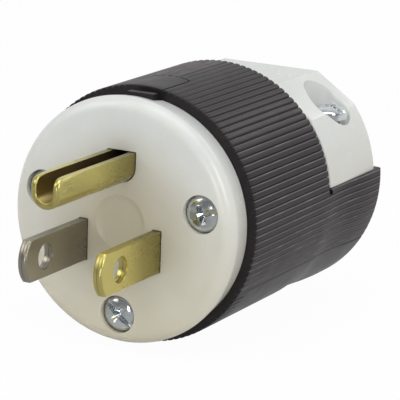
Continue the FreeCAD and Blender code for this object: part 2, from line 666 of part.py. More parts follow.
# Black housing: barrel, bulkhead and the lower half of the tail, revolved as one profile, with
# the ribs cut, the tail opened above the joint, and the screw bosses added.
def housing():
    bore = "spigot_radius + fit_gap"
    body = new_body("barrel_blank")
    profile = sketch(body, "XY_Plane", "barrel_profile")
    room = "waist_radius - tail_wall"
    outline(profile, [
        (bore, "cap_height"),
        ("barrel_radius", "cap_height"),
        ("barrel_radius", "barrel_end"),
        ("waist_radius", "waist_place"),
        ("flare_radius", "flare_place"),
    ] + quarter_round("flare_radius - tail_round", "tail_end - tail_round", "tail_round") + [
        ("cord_radius", "tail_end"),
        ("cord_radius", "clamp_screw_place - jaw_half"),
        (room, "clamp_screw_place - jaw_half"),
        (room, "barrel_end + bulkhead"),
        ("wire_radius", "barrel_end + bulkhead"),
        ("wire_radius", "barrel_end - bulkhead"),
        (bore, "barrel_end - bulkhead"),
    ])
    revolve(body, profile, "barrel_round_form")
    opening = sketch(body, "XZ_Plane", "tail_opening", "-tail_end - overrun")
    outline(opening, [
        ("-2 * flare_radius", "split_rise"),
        ("2 * flare_radius", "split_rise"),
        ("2 * flare_radius", "2 * flare_radius"),
        ("-2 * flare_radius", "2 * flare_radius"),
    ])
    pocket(body, opening, "tail_opened", "tail_end + overrun - barrel_end", reverse=True)
    ribbed = cut("ribbed_barrel", body, [rib_grooves(), thumb_line()])
    tab_left = "tab_middle - tab_width / 2"
    additions = [
        box("key_tab_lip", "tab_width", "tab_lip", "tab_top - tab_low", (tab_left, "tab_front", "tab_low")),
        box("key_tab_neck", "tab_width", "cap_height - tab_front + tab_root", "tab_neck",
            (tab_left, "tab_front", "tab_low")),
    ]
    tools = []
    for name, left in (("left", "-flare_radius"), ("right", "waist_radius - joint_notch")):
        tools.append(box("joint_notch_" + name, "flare_radius - waist_radius + joint_notch", "clamp_gap",
                         "joint_notch + overrun", (left, "barrel_end", "split_rise - joint_notch")))
    seat = "insert_radius + thread_clear"
    relief = "assembly_shank_radius + screw_clear"
    for name, (x, z) in ASSEMBLY_SPOTS.items():
        length = "barrel_end - bulkhead / 2 - " + BOSS_FRONT
        additions.append(rod("barrel_boss_" + name, "boss_radius", length, (x, BOSS_FRONT, z)))
        tools.append(rod("barrel_hole_" + name, seat, "insert_length + thread_clear + overrun",
                         (x, BOSS_FRONT + " - overrun", z)))
        tools.append(rod("barrel_relief_" + name, relief, "insert_length + 3 * overrun", (x, BOSS_FRONT, z)))
    limit = rod("tail_inside", "waist_radius - tail_wall / 2", "tail_end - bulkhead / 2 - barrel_end",
                ("0", "barrel_end", "0"))
    columns = []
    for name, side in (("left", "-"), ("right", "")):
        x = side + "clamp_screw_out"
        column = rod("tail_column_" + name, "boss_radius", "waist_radius + split_rise",
                     (x, "clamp_screw_place", "-waist_radius"), UPRIGHT)
        columns.append(column)
        tools.append(rod("tail_hole_" + name, seat, "insert_length + thread_clear + overrun",
                         (x, "clamp_screw_place", "split_rise - insert_length - thread_clear"), UPRIGHT))
        tools.append(rod("tail_relief_" + name, relief, "insert_length + 2 * overrun",
                         (x, "clamp_screw_place", "split_rise - insert_length - 2 * overrun"), UPRIGHT))
    additions.append(common("tail_bosses", fuse("tail_columns", columns), limit))
    whole = fuse("housing_blank", [ribbed] + additions)
    return finish(cut("housing", whole, tools), "housing")


# Fine line along the rear edge of the smooth patch.
def thumb_line():
    x = value_of("thumb_half")
    radius = value_of("barrel_radius")
    line = value_of("thumb_groove")
    spots = [Vector(s * x, thumb_edge(s * x), 0) for s in (-1, 0, 1)]
    back = [p + Vector(0, line, 0) for p in reversed(spots)]
    edges = [Part.Arc(*spots).toShape(), Part.LineSegment(spots[2], back[0]).toShape(),
             Part.Arc(*back).toShape(), Part.LineSegment(back[2], spots[0]).toShape()]
    solid = Part.Face(Part.Wire(edges)).extrude(Vector(0, 0, value_of("2 * rib_depth + overrun")))
    solid.translate(Vector(0, 0, math.sqrt(radius ** 2 - x ** 2) - value_of("rib_depth") / 2))
    made = doc.addObject("Part::Feature", "thumb_line")
    made.Shape = solid
    made.Placement = FreeCAD.Placement()
    return made


housing()


# White cord clamp: flat top, slanted sides and round ears, hollow inside, with a head pocket on
# each side and an arch over the cord.
def cord_clamp():
    body = new_body("clamp_blank")
    form = sketch(body, "XZ_Plane", "clamp_outline", "-clamp_rear")
    foot = "sqrt(clamp_radius ^ 2 - split_rise ^ 2)"
    ear = ("clamp_radius * cos(clamp_ear_angle)", "clamp_radius * sin(clamp_ear_angle)")
    outline(form, [
        (foot, "split_rise"),
        ear,
        ("clamp_flat_half", "clamp_flat_rise"),
        ("-clamp_flat_half", "clamp_flat_rise"),
        ("-" + ear[0], ear[1]),
        ("-" + foot, "split_rise"),
    ], {0: ("left", "x", "0"), 4: ("left", "x", "0")})
    block = pad(body, form, "clamp_block", "clamp_rear - clamp_front")
    top = value_of("clamp_flat_rise")
    ear_rise = value_of(ear[1])
    rear = value_of("clamp_rear")
    names = edges_where(block, lambda m, e: near(m.z, top) and near(abs(m.x), value_of("clamp_flat_half")))
    folds = round_edges(body, block, "clamp_folds", names, "clamp_fold_round")
    front = value_of("clamp_front")
    names = edges_where(folds, lambda m, e: near(m.z, ear_rise) and front + 1 < m.y < rear - 1)
    ears = round_edges(body, folds, "clamp_ears", names, "clamp_ear_round")
    names = edges_where(ears, lambda m, e: near(m.y, rear) and m.z > value_of("split_rise") + 0.01)
    round_edges(body, ears, "clamp_rear_edge", names, "clamp_edge_round")
    jaw_front = "(clamp_screw_place - jaw_half)"
    jaw_length = "clamp_rear - " + jaw_front + " + overrun"
    front_length = "clamp_rear - clamp_front"
    tools = [
        rod("clamp_wire_arch", "wire_radius", front_length, ("0", "clamp_front - overrun", "0")),
        rod("clamp_cord_arch", "cord_radius", jaw_length, ("0", jaw_front, "0")),
    ]
    room_length = jaw_front + " - clamp_front - bulkhead"
    room = rod("clamp_room", "clamp_room_radius", room_length, ("0", "clamp_front + bulkhead", "0"))
    bosses = []
    for name, side in (("left", "-"), ("right", "")):
        x = side + "clamp_screw_out"
        bosses.append(rod("clamp_boss_" + name, "pocket_radius + pocket_floor", "clamp_flat_rise",
                          (x, "clamp_screw_place", "0"), UPRIGHT))
        head_room = doc.addObject("Part::Cone", "head_pocket_" + name)
        bind(head_room, Radius1="pocket_radius", Radius2="pocket_mouth",
             Height="clamp_flat_rise - clamp_seat_rise + overrun")
        tools.append(place(head_room, (x, "clamp_screw_place", "clamp_seat_rise")))
        tools.append(rod("clamp_hole_" + name, "assembly_shank_radius + screw_clear", "clamp_flat_rise",
                         (x, "clamp_screw_place", "0"), UPRIGHT))
    tools.append(cut("clamp_room_round_bosses", room, [fuse("clamp_bosses", bosses)]))
    return finish(cut("cord_clamp", body, tools), "cord_clamp")


cord_clamp()


# A screw along its own Z, its seat at the origin: domed head, cross recess and straight slot.
def screw(label, head_radius, head_height, shank, length, at, turn):
    body = new_body(label)
    profile = sketch(body, "XZ_Plane", label + "_profile")
    outline(profile, [
        ("0", "-" + length),
        (shank + " - screw_point", "-" + length),
        (shank, "screw_point - " + length),
        (shank, "0"),
        (head_radius, "0"),
        (head_radius, head_height + " * head_rim"),
        (head_radius + " * head_flat", head_height),
        ("0", head_height),
    ])
    turned = body.newObject("PartDesign::Revolution", label + "_form")
    turned.Profile = profile
    turned.ReferenceAxis = (profile, ["V_Axis"])
    turned.Angle = 360
    cross = sketch(body, "XY_Plane", label + "_cross", head_height)
    half = "cross_width / 2"
    outline(cross, [
        (half, half), (half, "cross_reach"), ("-" + half, "cross_reach"), ("-" + half, half),
        ("-cross_reach", half), ("-cross_reach", "-" + half), ("-" + half, "-" + half),
        ("-" + half, "-cross_reach"), (half, "-cross_reach"), (half, "-" + half),
        ("cross_reach", "-" + half), ("cross_reach", half),
    ])
    pocket(body, cross, label + "_cross_cut", "cross_depth")
    slot = sketch(body, "XY_Plane", label + "_slot", head_height)
    outline(slot, [
        ("-" + head_radius, "-" + half), (head_radius, "-" + half),
        (head_radius, half), ("-" + head_radius, half),
    ])
    pocket(body, slot, label + "_slot_cut", "slot_depth")
    place(body, at, turn)
    return finish(body, label)


for name, (x, z) in ASSEMBLY_SPOTS.items():
    screw(name + "_assembly_screw", "assembly_head_radius", "assembly_head_height", "assembly_shank_radius",
          ASSEMBLY_SHANK, (x, "recess_depth", z), FACING)

for name, side in (("left", "-"), ("right", "")):
    screw(name + "_clamp_screw", "clamp_head_radius", "clamp_head_height", "assembly_shank_radius",
          CLAMP_SHANK, (side + "clamp_screw_out", "clamp_screw_place", "clamp_seat_rise"), UPRIGHT)


# A contact's outer face, where its pressure plate lies and its terminal screw stands.
CONTACT_SEATS = {
    "neutral": ("-blade_spacing / 2 - blade_thick / 2", "-blade_drop", "blade_thick", TO_LEFT),
    "line": ("blade_spacing / 2 + blade_thick / 2", "-blade_drop", "blade_thick", TO_RIGHT),
    "ground": ("0", GROUND_PLATE + " + ground_thick", "ground_thick", UPRIGHT),
}


def terminal_screw(name):
    x, z, thick, turn = CONTACT_SEATS[name]
    if turn is UPRIGHT:
        z += " + pressure_thick"
    else:
        x += " - pressure_thick" if turn is TO_LEFT else " + pressure_thick"
    screw(name + "_terminal_screw", "terminal_head_radius", "terminal_head_height", "terminal_screw_radius",
          "(pressure_thick + %s + terminal_shank_past)" % thick, (x, "terminal_screw_reach", z), turn)


for name in CONTACT_SEATS:
    terminal_screw(name)


# Pressure plate between a terminal screw's head and its contact, with a lip past the contact's
# end. It is made flat on its own Z and turned onto its contact.
def pressure_plate(label, contact_thick, at, turn):
    body = new_body(label)
    start = "-pressure_length / 2"
    stop = "terminal_end - terminal_screw_reach + fit_gap + pressure_lip"
    side = sketch(body, "YZ_Plane", label + "_side")
    outline(side, [
        (start, "0"),
        (stop + " - pressure_lip", "0"),
        (stop + " - pressure_lip", "-" + contact_thick),
        (stop, "-" + contact_thick),
        (stop, "pressure_thick"),
        (start, "pressure_thick"),
    ])
    pad(body, side, label + "_plate", "2 * pressure_half", middle=True)
    hole = sketch(body, "XY_Plane", label + "_hole")
    circle(hole, "0", "0", "terminal_screw_radius + screw_clear")
    pocket(body, hole, label + "_hole_cut", "2 * pressure_thick", middle=False, reverse=True)
    place(body, at, turn)
    return finish(body, label)


for name, (x, z, thick, turn) in CONTACT_SEATS.items():
    pressure_plate(name + "_pressure_plate", thick, (x, "terminal_screw_reach", z), turn)


# Threaded metal insert in a boss.
def insert(label, at, turn):
    outside = rod(label + "_outside", "insert_radius", "insert_length", at, turn)
    inside = rod(label + "_thread", "assembly_shank_radius + thread_clear", "insert_length", at, turn)
    return finish(cut(label, outside, [inside]), label)


for name, (x, z) in ASSEMBLY_SPOTS.items():
    insert(name + "_body_insert", (x, BOSS_FRONT, z), ALONG)
for name, side in (("left", "-"), ("right", "")):
    spot = (side + "clamp_screw_out", "clamp_screw_place", "split_rise - insert_length")
    insert(name + "_clamp_insert", spot, UPRIGHT)

doc.recompute()

# Every feature has to be sound before a piece is written.
for thing in doc.Objects:
    bad = [word for word in thing.State if word in ("Invalid", "Error")]
    if bad:
        raise RuntimeError("%s is %s" % (thing.Name, bad[0]))
for piece in NODES:
    shape = piece.Shape
    if shape.isNull() or not shape.isValid():
        raise RuntimeError(piece.Label + " has no valid shape")
    if len(shape.Solids) != 1:
        raise RuntimeError("%s has %d solids" % (piece.Label, len(shape.Solids)))
    shape.exportStep("parts/" + piece.Label + ".step")
    print("%-24s %9.1f mm3" % (piece.Label, shape.Volume))
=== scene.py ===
import math

import bpy
from bpy.props import FloatProperty, FloatVectorProperty, IntProperty, PointerProperty
from bpy.types import Operator, Panel, PropertyGroup
from mathutils import Matrix, Vector


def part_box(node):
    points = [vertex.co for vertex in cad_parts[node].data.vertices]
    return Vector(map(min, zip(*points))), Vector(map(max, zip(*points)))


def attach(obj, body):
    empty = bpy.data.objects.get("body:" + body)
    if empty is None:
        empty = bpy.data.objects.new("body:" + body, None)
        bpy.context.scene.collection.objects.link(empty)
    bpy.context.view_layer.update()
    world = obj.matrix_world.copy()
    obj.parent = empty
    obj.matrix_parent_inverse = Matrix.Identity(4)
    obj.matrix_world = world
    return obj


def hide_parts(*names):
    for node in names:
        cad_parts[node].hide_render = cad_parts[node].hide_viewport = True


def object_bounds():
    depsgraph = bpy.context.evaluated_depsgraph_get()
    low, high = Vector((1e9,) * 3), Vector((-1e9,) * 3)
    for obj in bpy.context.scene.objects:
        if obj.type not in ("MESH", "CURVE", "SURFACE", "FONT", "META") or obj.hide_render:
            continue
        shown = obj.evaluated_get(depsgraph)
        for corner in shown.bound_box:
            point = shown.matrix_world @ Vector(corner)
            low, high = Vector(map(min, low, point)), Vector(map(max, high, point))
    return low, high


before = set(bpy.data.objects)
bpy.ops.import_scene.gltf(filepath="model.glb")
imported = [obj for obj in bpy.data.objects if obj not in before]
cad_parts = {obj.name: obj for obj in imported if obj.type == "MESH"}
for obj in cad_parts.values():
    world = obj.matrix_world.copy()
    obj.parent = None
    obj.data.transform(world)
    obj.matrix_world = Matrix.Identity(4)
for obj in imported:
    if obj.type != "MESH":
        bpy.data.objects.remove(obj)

bl_info = {
    "name": "Grounded cord plug",
    "version": (1, 0, 0),
    "blender": (4, 5, 0),
    "location": "View3D > Sidebar > Plug",
    "description": "Dresses the packed cord plug: white cap, ribbed barrel, cord clamp, contacts and screws",
    "category": "Object",
}

CAD_LOW, CAD_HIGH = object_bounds()
MM = 0.001
FULL_TURN = 2 * math.pi
WELD = 1e-7
NEAR = 1e-6
RIGHT, BACK, UP = Vector((1, 0, 0)), Vector((0, 1, 0)), Vector((0, 0, 1))
FACING = (math.pi / 2, 0, 0)

# Sizes that several pieces share
SHANK = 1.7 * MM
SCREW_HOLE = 1.9 * MM
BOSS = 3.8 * MM
INSERT_SEAT = 2.63 * MM
INSERT_DEPTH = 8.53 * MM
JAW_AHEAD = 1.6 * MM
TAB_SIDES = (-1.25 * MM, 3.25 * MM)
TAB_FOOT = 17.42 * MM
TAB_CLEAR = 0.12 * MM
TERMINAL_START = 4.5 * MM
TERMINAL_STEP = 10.9 * MM
TERMINAL_END = 21 * MM
TERMINAL_HOLE = 1.63 * MM
TERMINAL_HOLE_PLACE = 17 * MM

# Columns of points in a rib, and the smooth areas: the belly and the patch behind the tab
RIB_COLUMNS = 10
BELLY_ANGLE = math.radians(31.2)
BELLY_START = 8.6 * MM
PATCH_HALF = 3.2 * MM
PATCH_END = 15.2 * MM
PATCH_BOW = 8 * MM


def length(description, default):
    return FloatProperty(description=description, default=default * MM, unit="LENGTH", precision=5)


def amount(description, default, unit="NONE"):
    return FloatProperty(description=description, default=default, unit=unit, min=0.0)


def colour(description, default):
    return FloatVectorProperty(description=description, default=default + (1.0,), size=4, subtype="COLOR",
                               min=0.0, max=1.0)


# Sizes and colours that a user may change. Lengths are given here in millimetres.

class CapSettings(PropertyGroup):
    nose_radius: length("Widest part of the white cap", 19.0)
    foot_radius: length("White cap where it meets the barrel", 18.35)
    rim_round: length("Rounded rim of the face", 1.9)
    height: length("From the face to the front of the barrel", 6.0)
    face_wall: length("Thickness of the wall behind the face", 4.5)
    spigot_radius: length("Part of the cap inside the barrel", 17.3)
    spigot_end: length("Rear edge of the cap behind the face", 11.0)
    spigot_wall: length("Wall of that part", 1.9)
    dimple_radius: length("Shallow round hollow in the face", 4.35)
    dimple_depth: length("Depth of that hollow", 0.3)
    recess_radius: length("Recess for a screw head in the face", 2.95)
    recess_depth: length("Depth of that recess", 2.05)
    slot_clear: length("Around each flat blade where it leaves the face", 0.08)
    pin_clear: length("Around the grounding pin where it leaves the face", 0.1)
    edge_round: length("Rounded edges of slots and recesses", 0.12)


class BarrelSettings(PropertyGroup):
    radius: length("Barrel over its ribs", 19.92)
    end: length("Rear edge of the full round of the barrel", 31.06)
    waist_radius: length("Narrowest part of the tail", 19.72)
    waist_place: length("Narrowest part of the tail behind the face", 36.5)
    flare_radius: length("Widest part of the tail", 20.24)
    flare_place: length("Widest part of the tail behind the face", 46.2)
    tail_end: length("Rear end of the tail", 50.3)
    tail_round: length("Rounded rear edge of the tail", 1.0)
    wall: length("Wall across the barrel's rear and around the tail", 2.4)
    bore: length("Radius inside the barrel", 17.4)
    cord_radius: length("Opening for the cord", 9.2)
    wire_radius: length("Opening for the wires in the rear wall of the barrel", 8.6)
    split: length("Joint between tail and clamp above the axis", 1.7)
    ribs: IntProperty(description="Ribs around the barrel", default=114, min=12)
    rib_depth: length("Depth of the grooves between ribs", 0.24)
    shoulder: length("How far the edges of a rib are rounded down", 0.1)


class ClampSettings(PropertyGroup):
    front: length("Front of the cord clamp behind the face", 32.3)
    rear: length("Rear of the cord clamp behind the face", 49.0)
    radius: length("Round ears of the clamp", 19.55)
    flat_half: length("Half the width of the flat top", 8.4)
    flat_rise: length("Flat top above the axis", 16.8)
    fold_round: length("Folds between the flat top and the slants", 1.0)
    ear_round: length("Folds between the slants and the ears", 2.5)
    rear_round: length("Rear outer edge", 0.9)
    screw_out: length("Clamp screws out from the axis", 13.7)
    screw_place: length("Clamp screws behind the face", 42.3)
    seat_rise: length("Seat of the screw heads above the axis", 10.5)
    pocket_radius: length("Head pocket at its seat", 3.7)
    pocket_mouth: length("Head pocket at its mouth", 4.3)


class ContactSettings(PropertyGroup):
    spacing: length("Between the middles of the flat blades", 12.7)
    width: length("Flat blade, up and down", 6.35)
    thick: length("Both folded layers of a flat blade", 1.52)
    reach: length("Tip of a flat blade in front of the face", 17.1)
    tip_radius: length("Curve of a blade tip, seen from the side", 4.4)
    drop: length("Middle of the flat blades below the axis", 3.52)
    hole_radius: length("Hole through a flat blade", 1.98)
    hole_reach: length("Hole in front of the face", 11.7)
    pin_width: length("Grounding pin, side to side", 4.75)
    pin_wall: length("Strip that the grounding pin is bent from", 1.0)
    pin_top: length("Edges of the pin above the axis", 10.97)
    pin_belly: length("Belly of the pin above the axis", 6.27)
    pin_reach: length("Tip of the pin in front of the face", 21.4)
    pin_corner: length("Rounded front upper corners of the pin", 1.5)
    pin_bevel: length("Bevel around the outside of the pin tip", 0.5)


class FinishSettings(PropertyGroup):
    nylon: colour("Cap and cord clamp", (0.72, 0.735, 0.715))
    # Painted shade: the darker, yellower nylon painted low down and around the middle of the face
    painted_shade_nylon: colour("White nylon at the underside", (0.66, 0.60, 0.43))
    housing: colour("Barrel and tail", (0.0175, 0.0145, 0.016))
    barrier: colour("Barrier behind the cap", (0.52, 0.52, 0.48))
    brass: colour("Line blade, grounding pin, plates and inserts", (0.60, 0.525, 0.185))
    nickel: colour("Neutral blade", (0.40, 0.37, 0.30))
    zinc: colour("Screws", (0.82, 0.86, 0.88))
    green: colour("Screw of the grounding terminal", (0.10, 0.32, 0.16))


class StageSettings(PropertyGroup):
    floor: colour("Plain pale floor", (0.8, 0.8, 0.8))
    key_power: amount("Power of the large lamp above", 1.3, "POWER")
    side_power: amount("Power of the lamp on the right", 0.65, "POWER")
    world_level: amount("Light from all around", 0.42)
    mirror_level: amount("What glossy pieces reflect of the dark room", 0.2)
    backdrop_level: amount("What they reflect of floor and backdrop", 0.75)


# Selecting and shaping

def leave_edit():
    if bpy.context.object is not None and bpy.context.object.mode != "OBJECT":
        bpy.ops.object.mode_set(mode="OBJECT")


def none_selected():
    leave_edit()
    bpy.ops.object.select_all(action="DESELECT")


def only(piece):
    """Makes one object active and the only one selected."""
    none_selected()
    piece.select_set(True)
    bpy.context.view_layer.objects.active = piece


def settle(piece):
    """Puts the object's place and turn into its mesh."""
    only(piece)
    bpy.ops.object.transform_apply(location=True, rotation=True, scale=True)
    return piece


def named(piece, name):
    piece.name = piece.data.name = name
    return piece


def pick(piece, kind, test, sharp=None):
    """Enters edit mode with the vertices, edges or faces selected that pass the test."""
    only(piece)
    mesh = piece.data
    bpy.ops.object.mode_set(mode="EDIT")
    bpy.ops.mesh.select_mode(type=kind)
    bpy.ops.mesh.select_all(action="DESELECT" if sharp else "SELECT")
    if sharp:
        bpy.ops.mesh.edges_select_sharp(sharpness=sharp)
    bpy.ops.object.mode_set(mode="OBJECT")
    spots = [v.co.copy() for v in mesh.vertices]
    if kind == "VERT":
        chosen = [test(spot) for spot in spots]
    elif kind == "EDGE":
        chosen = [e.select and test(spots[e.vertices[0]], spots[e.vertices[1]]) for e in mesh.edges]
    else:
        chosen = [test(f.center, f.normal) for f in mesh.polygons]
    for name, group in (("VERT", mesh.vertices), ("EDGE", mesh.edges), ("FACE", mesh.polygons)):
        group.foreach_set("select", chosen if name == kind else [False] * len(group))
    bpy.ops.object.mode_set(mode="EDIT")


def select_all(kind=None):
    """Selects all of the mesh in edit mode, by vertices, edges or faces."""
    if kind:
        bpy.ops.mesh.select_mode(type=kind)
    bpy.ops.mesh.select_all(action="SELECT")


def draw_edges(by):
    bpy.ops.mesh.extrude_edges_move(TRANSFORM_OT_translate={"value": by})


def draw_faces(by):
    bpy.ops.mesh.extrude_region_move(TRANSFORM_OT_translate={"value": by})


def soften(piece, test, size, segments, sharp=math.radians(40)):
    """Rounds the sharp edges that pass the test."""
    pick(piece, "EDGE", test, sharp)
    bpy.ops.mesh.bevel(offset=size, segments=segments, profile=0.5, affect="EDGES", clamp_overlap=True)
    leave_edit()


def tidy(piece, angle=35):
    """Merges doubles, turns the faces outwards and smooths between gentle angles."""
    only(piece)
    bpy.ops.object.mode_set(mode="EDIT")
    select_all("VERT")
    bpy.ops.mesh.remove_doubles(threshold=WELD)
    bpy.ops.mesh.normals_make_consistent(inside=False)
    leave_edit()
    bpy.ops.object.shade_smooth_by_angle(angle=math.radians(angle))
    return piece


def combine(piece, tool, operation="DIFFERENCE"):
    """Cuts, adds or keeps the common form, and removes the tool."""
    only(piece)
    change = piece.modifiers.new("form", "BOOLEAN")
    change.operation = operation
    change.solver = "EXACT"
    change.object = tool
    bpy.ops.object.modifier_apply(modifier=change.name)
    bpy.data.objects.remove(tool)
    return piece


def block(low, high):
    """Box between two corners, in metres."""
    none_selected()
    middle = [(a + b) / 2 for a, b in zip(low, high)]
    bpy.ops.mesh.primitive_cube_add(size=1, location=middle)
    made = bpy.context.object
    made.scale = [b - a for a, b in zip(low, high)]
    return settle(made)


def rod(start, axis, radius, reach, end_radius=None, segments=64):
    """Cylinder or cone from a point along an axis."""
    none_selected()
    bpy.ops.mesh.primitive_cone_add(vertices=segments, radius1=radius, radius2=end_radius or radius,
                                    depth=reach, location=Vector(start) + axis * reach / 2,
                                    rotation=UP.rotation_difference(axis).to_euler())
    return settle(bpy.context.object)


def circle(radius, place, turn, segments, fill="NGON"):
    none_selected()
    bpy.ops.mesh.primitive_circle_add(vertices=segments, radius=radius, fill_type=fill, location=place,
                                      rotation=turn)
    return settle(bpy.context.object)


def trim(planes, merge=0.0001):
    """Cuts a flat form down to what lies behind all planes, each given by a place and a direction."""
    bpy.ops.object.mode_set(mode="EDIT")
    for place, normal in planes:
        select_all()
        bpy.ops.mesh.bisect(plane_co=place, plane_no=normal, threshold=merge, clear_outer=True)


def thicken(form, by):
    """Draws a flat form out to a solid."""
    select_all()
    draw_faces(by)
    leave_edit()
    tidy(form)


def lathe(stations, segments, axis=BACK, ring=False):
    """Form of revolution through rings of (radius, place), with its ends filled or joined."""
    radius, spot = stations[0]
    made = circle(radius, axis * spot, FACING if axis == BACK else (0, 0, 0), segments,
                  "NOTHING" if ring else "NGON")
    bpy.ops.object.mode_set(mode="EDIT")
    select_all("EDGE")
    for next_radius, next_spot in stations[1:] + (stations[:1] if ring else []):
        draw_edges(axis * (next_spot - spot))
        factor = next_radius / radius
        bpy.ops.transform.resize(value=[1 if part else factor for part in axis],
                                 center_override=axis * next_spot)
        radius, spot = next_radius, next_spot
    if not ring:
        bpy.ops.mesh.edge_face_add()
    leave_edit()
    return tidy(made)


def quarter(radius, place, out, along, steps):
    """Rings of a quarter round with the given reach outwards and along, from its side."""
    turns = [math.pi / 2 * i / steps for i in range(steps + 1)]
    return [(radius + out * math.cos(turn), place + along * math.sin(turn)) for turn in turns]


def dress(piece, name, finish, node):
    """Names a finished piece and lets it stand for its CAD node."""
    only(piece)
    change = piece.modifiers.new("normals", "WEIGHTED_NORMAL")
    change.keep_sharp = True
    bpy.ops.object.modifier_apply(modifier=change.name)
    named(piece, name)
    piece.data.materials.clear()
    piece.data.materials.append(finishes()[finish])
    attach(piece, "root")
    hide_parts(node)
    return piece


# Shader maths: a signal is a socket's value, and an expression on signals adds its nodes.

class Signal:
    def __init__(self, graph, socket):
        self.graph, self.socket = graph, socket

    def combined(self, operation, first, second):
        return self.graph.node("ShaderNodeMath", {"operation": operation}, {0: first, 1: second})

    def __add__(self, other):
        return self.combined("ADD", self, other)

    def __sub__(self, other):
        return self.combined("SUBTRACT", self, other)

    def __rsub__(self, other):
        return self.combined("SUBTRACT", other, self)

    def __mul__(self, other):
        return self.combined("MULTIPLY", self, other)

    __radd__ = __add__
    __rmul__ = __mul__


class Graph:
    def __init__(self, tree):
        self.tree = tree
        tree.nodes.clear()

    def node(self, kind, settings=None, sockets=None, out=0):
        """Adds a node: its settings first, then the values or links of its sockets."""
        made = self.tree.nodes.new(kind)
        for name, value in (settings or {}).items():
            setattr(made, name, value)
        for name, value in (sockets or {}).items():
            if isinstance(value, Signal):
                self.tree.links.new(value.socket, made.inputs[name])
            else:
                made.inputs[name].default_value = value
        return Signal(self, made.outputs[out]) if len(made.outputs) else made

    def place(self, stretch=(1, 1, 1)):
        """Object coordinates, stretched."""
        spot = self.node("ShaderNodeTexCoord", out="Object")
        return self.node("ShaderNodeMapping", {"vector_type": "POINT"}, {"Vector": spot, "Scale": stretch})

    def axes(self, spot):
        """The three parts of a place."""
        return [self.node("ShaderNodeSeparateXYZ", {}, {"Vector": spot}, out=i) for i in range(3)]

    def rays(self, *names):
        """Which kinds of ray see the surface."""
        path = self.tree.nodes.new("ShaderNodeLightPath")
        return [Signal(self, path.outputs[name]) for name in names]

    def glow(self, strength, kind="ShaderNodeEmission"):
        return self.node(kind, {}, {"Color": (1, 1, 1, 1), "Strength": strength})

    def mixed(self, factor, first, second):
        """Surface between two surfaces."""
        return self.node("ShaderNodeMixShader", {}, {0: factor, 1: first, 2: second})

    def noise(self, spot, scale, detail=3.0, roughness=0.5):
        return self.node("ShaderNodeTexNoise", {"noise_dimensions": "3D"},
                         {"Vector": spot, "Scale": scale, "Detail": detail, "Roughness": roughness})

    def blend(self, factor, first, second):
        """Colour between two colours."""
        return self.node("ShaderNodeMix", {"data_type": "RGBA"}, {0: factor, 6: first, 7: second}, out=2)

    def range(self, signal, low, high):
        """Stretches the part of a signal between two values to 0 to 1."""
        return self.node("ShaderNodeMapRange", {"clamp": True},
                         {"Value": signal, "From Min": low, "From Max": high})

    def bump(self, height, strength, distance):
        return self.node("ShaderNodeBump", {}, {"Height": height, "Strength": strength, "Distance": distance})

    def surface(self, values):
        shader = self.node("ShaderNodeBsdfPrincipled", {}, values)
        self.node("ShaderNodeOutputMaterial", {"target": "ALL"}, {"Surface": shader})


def new_graph(name):
    made = bpy.data.materials.new(name)
    made.use_nodes = True
    return made, Graph(made.node_tree)


def shade(tone, factor):
    return tuple(min(1.0, c * factor) for c in tone[:3]) + (1.0,)


def nylon(name, tone, painted_shade_tone):
    """Glossy nylon, slightly translucent, with faint flow marks and uneven gloss; painted shade makes it
    darker and warmer low down and around the middle of the face.
    """
    made, graph = new_graph(name)
    spot = graph.place()
    rise = graph.axes(spot)[2]
    flow = graph.noise(graph.place((1, 0.35, 1)), 130, 4, 0.55)
    dust = graph.range(graph.noise(spot, 2600, 2, 0.6), 0.62, 0.78)
    base = graph.blend(graph.range(flow, 0.3, 0.7), shade(tone, 0.97), shade(tone, 1.03))
    away = graph.node("ShaderNodeVectorMath", {"operation": "LENGTH"}, {0: graph.place((1, 0, 1))}, out=1)
    # Painted shade: darker and warmer towards the bottom
    low = graph.range(rise, 12 * MM, -17 * MM) * 0.75
    base = graph.blend(low, base, tuple(painted_shade_tone))
    # Painted shade: darker still within 15 mm of the axis, around the blades and the pin
    base = graph.blend(graph.range(away, 15 * MM, 4 * MM) * 0.85, base, shade(painted_shade_tone, 0.76))
    base = graph.blend(dust * 0.05, base, shade(tone, 0.72))
    peel = graph.noise(spot, 420, 2, 0.5)
    grain = graph.noise(spot, 3800, 2, 0.5)
    graph.surface({
        "Base Color": base,
        "Roughness": 0.2 + graph.range(flow, 0.25, 0.75) * 0.08 + dust * 0.1,
        "Normal": graph.bump(peel + grain * 0.05, 0.14, 0.00005),
        "Subsurface Weight": 0.25,
        "Subsurface Radius": (1.0, 0.9, 0.6),
        "Subsurface Scale": 0.0009,
        "IOR": 1.53,
    })
    return made


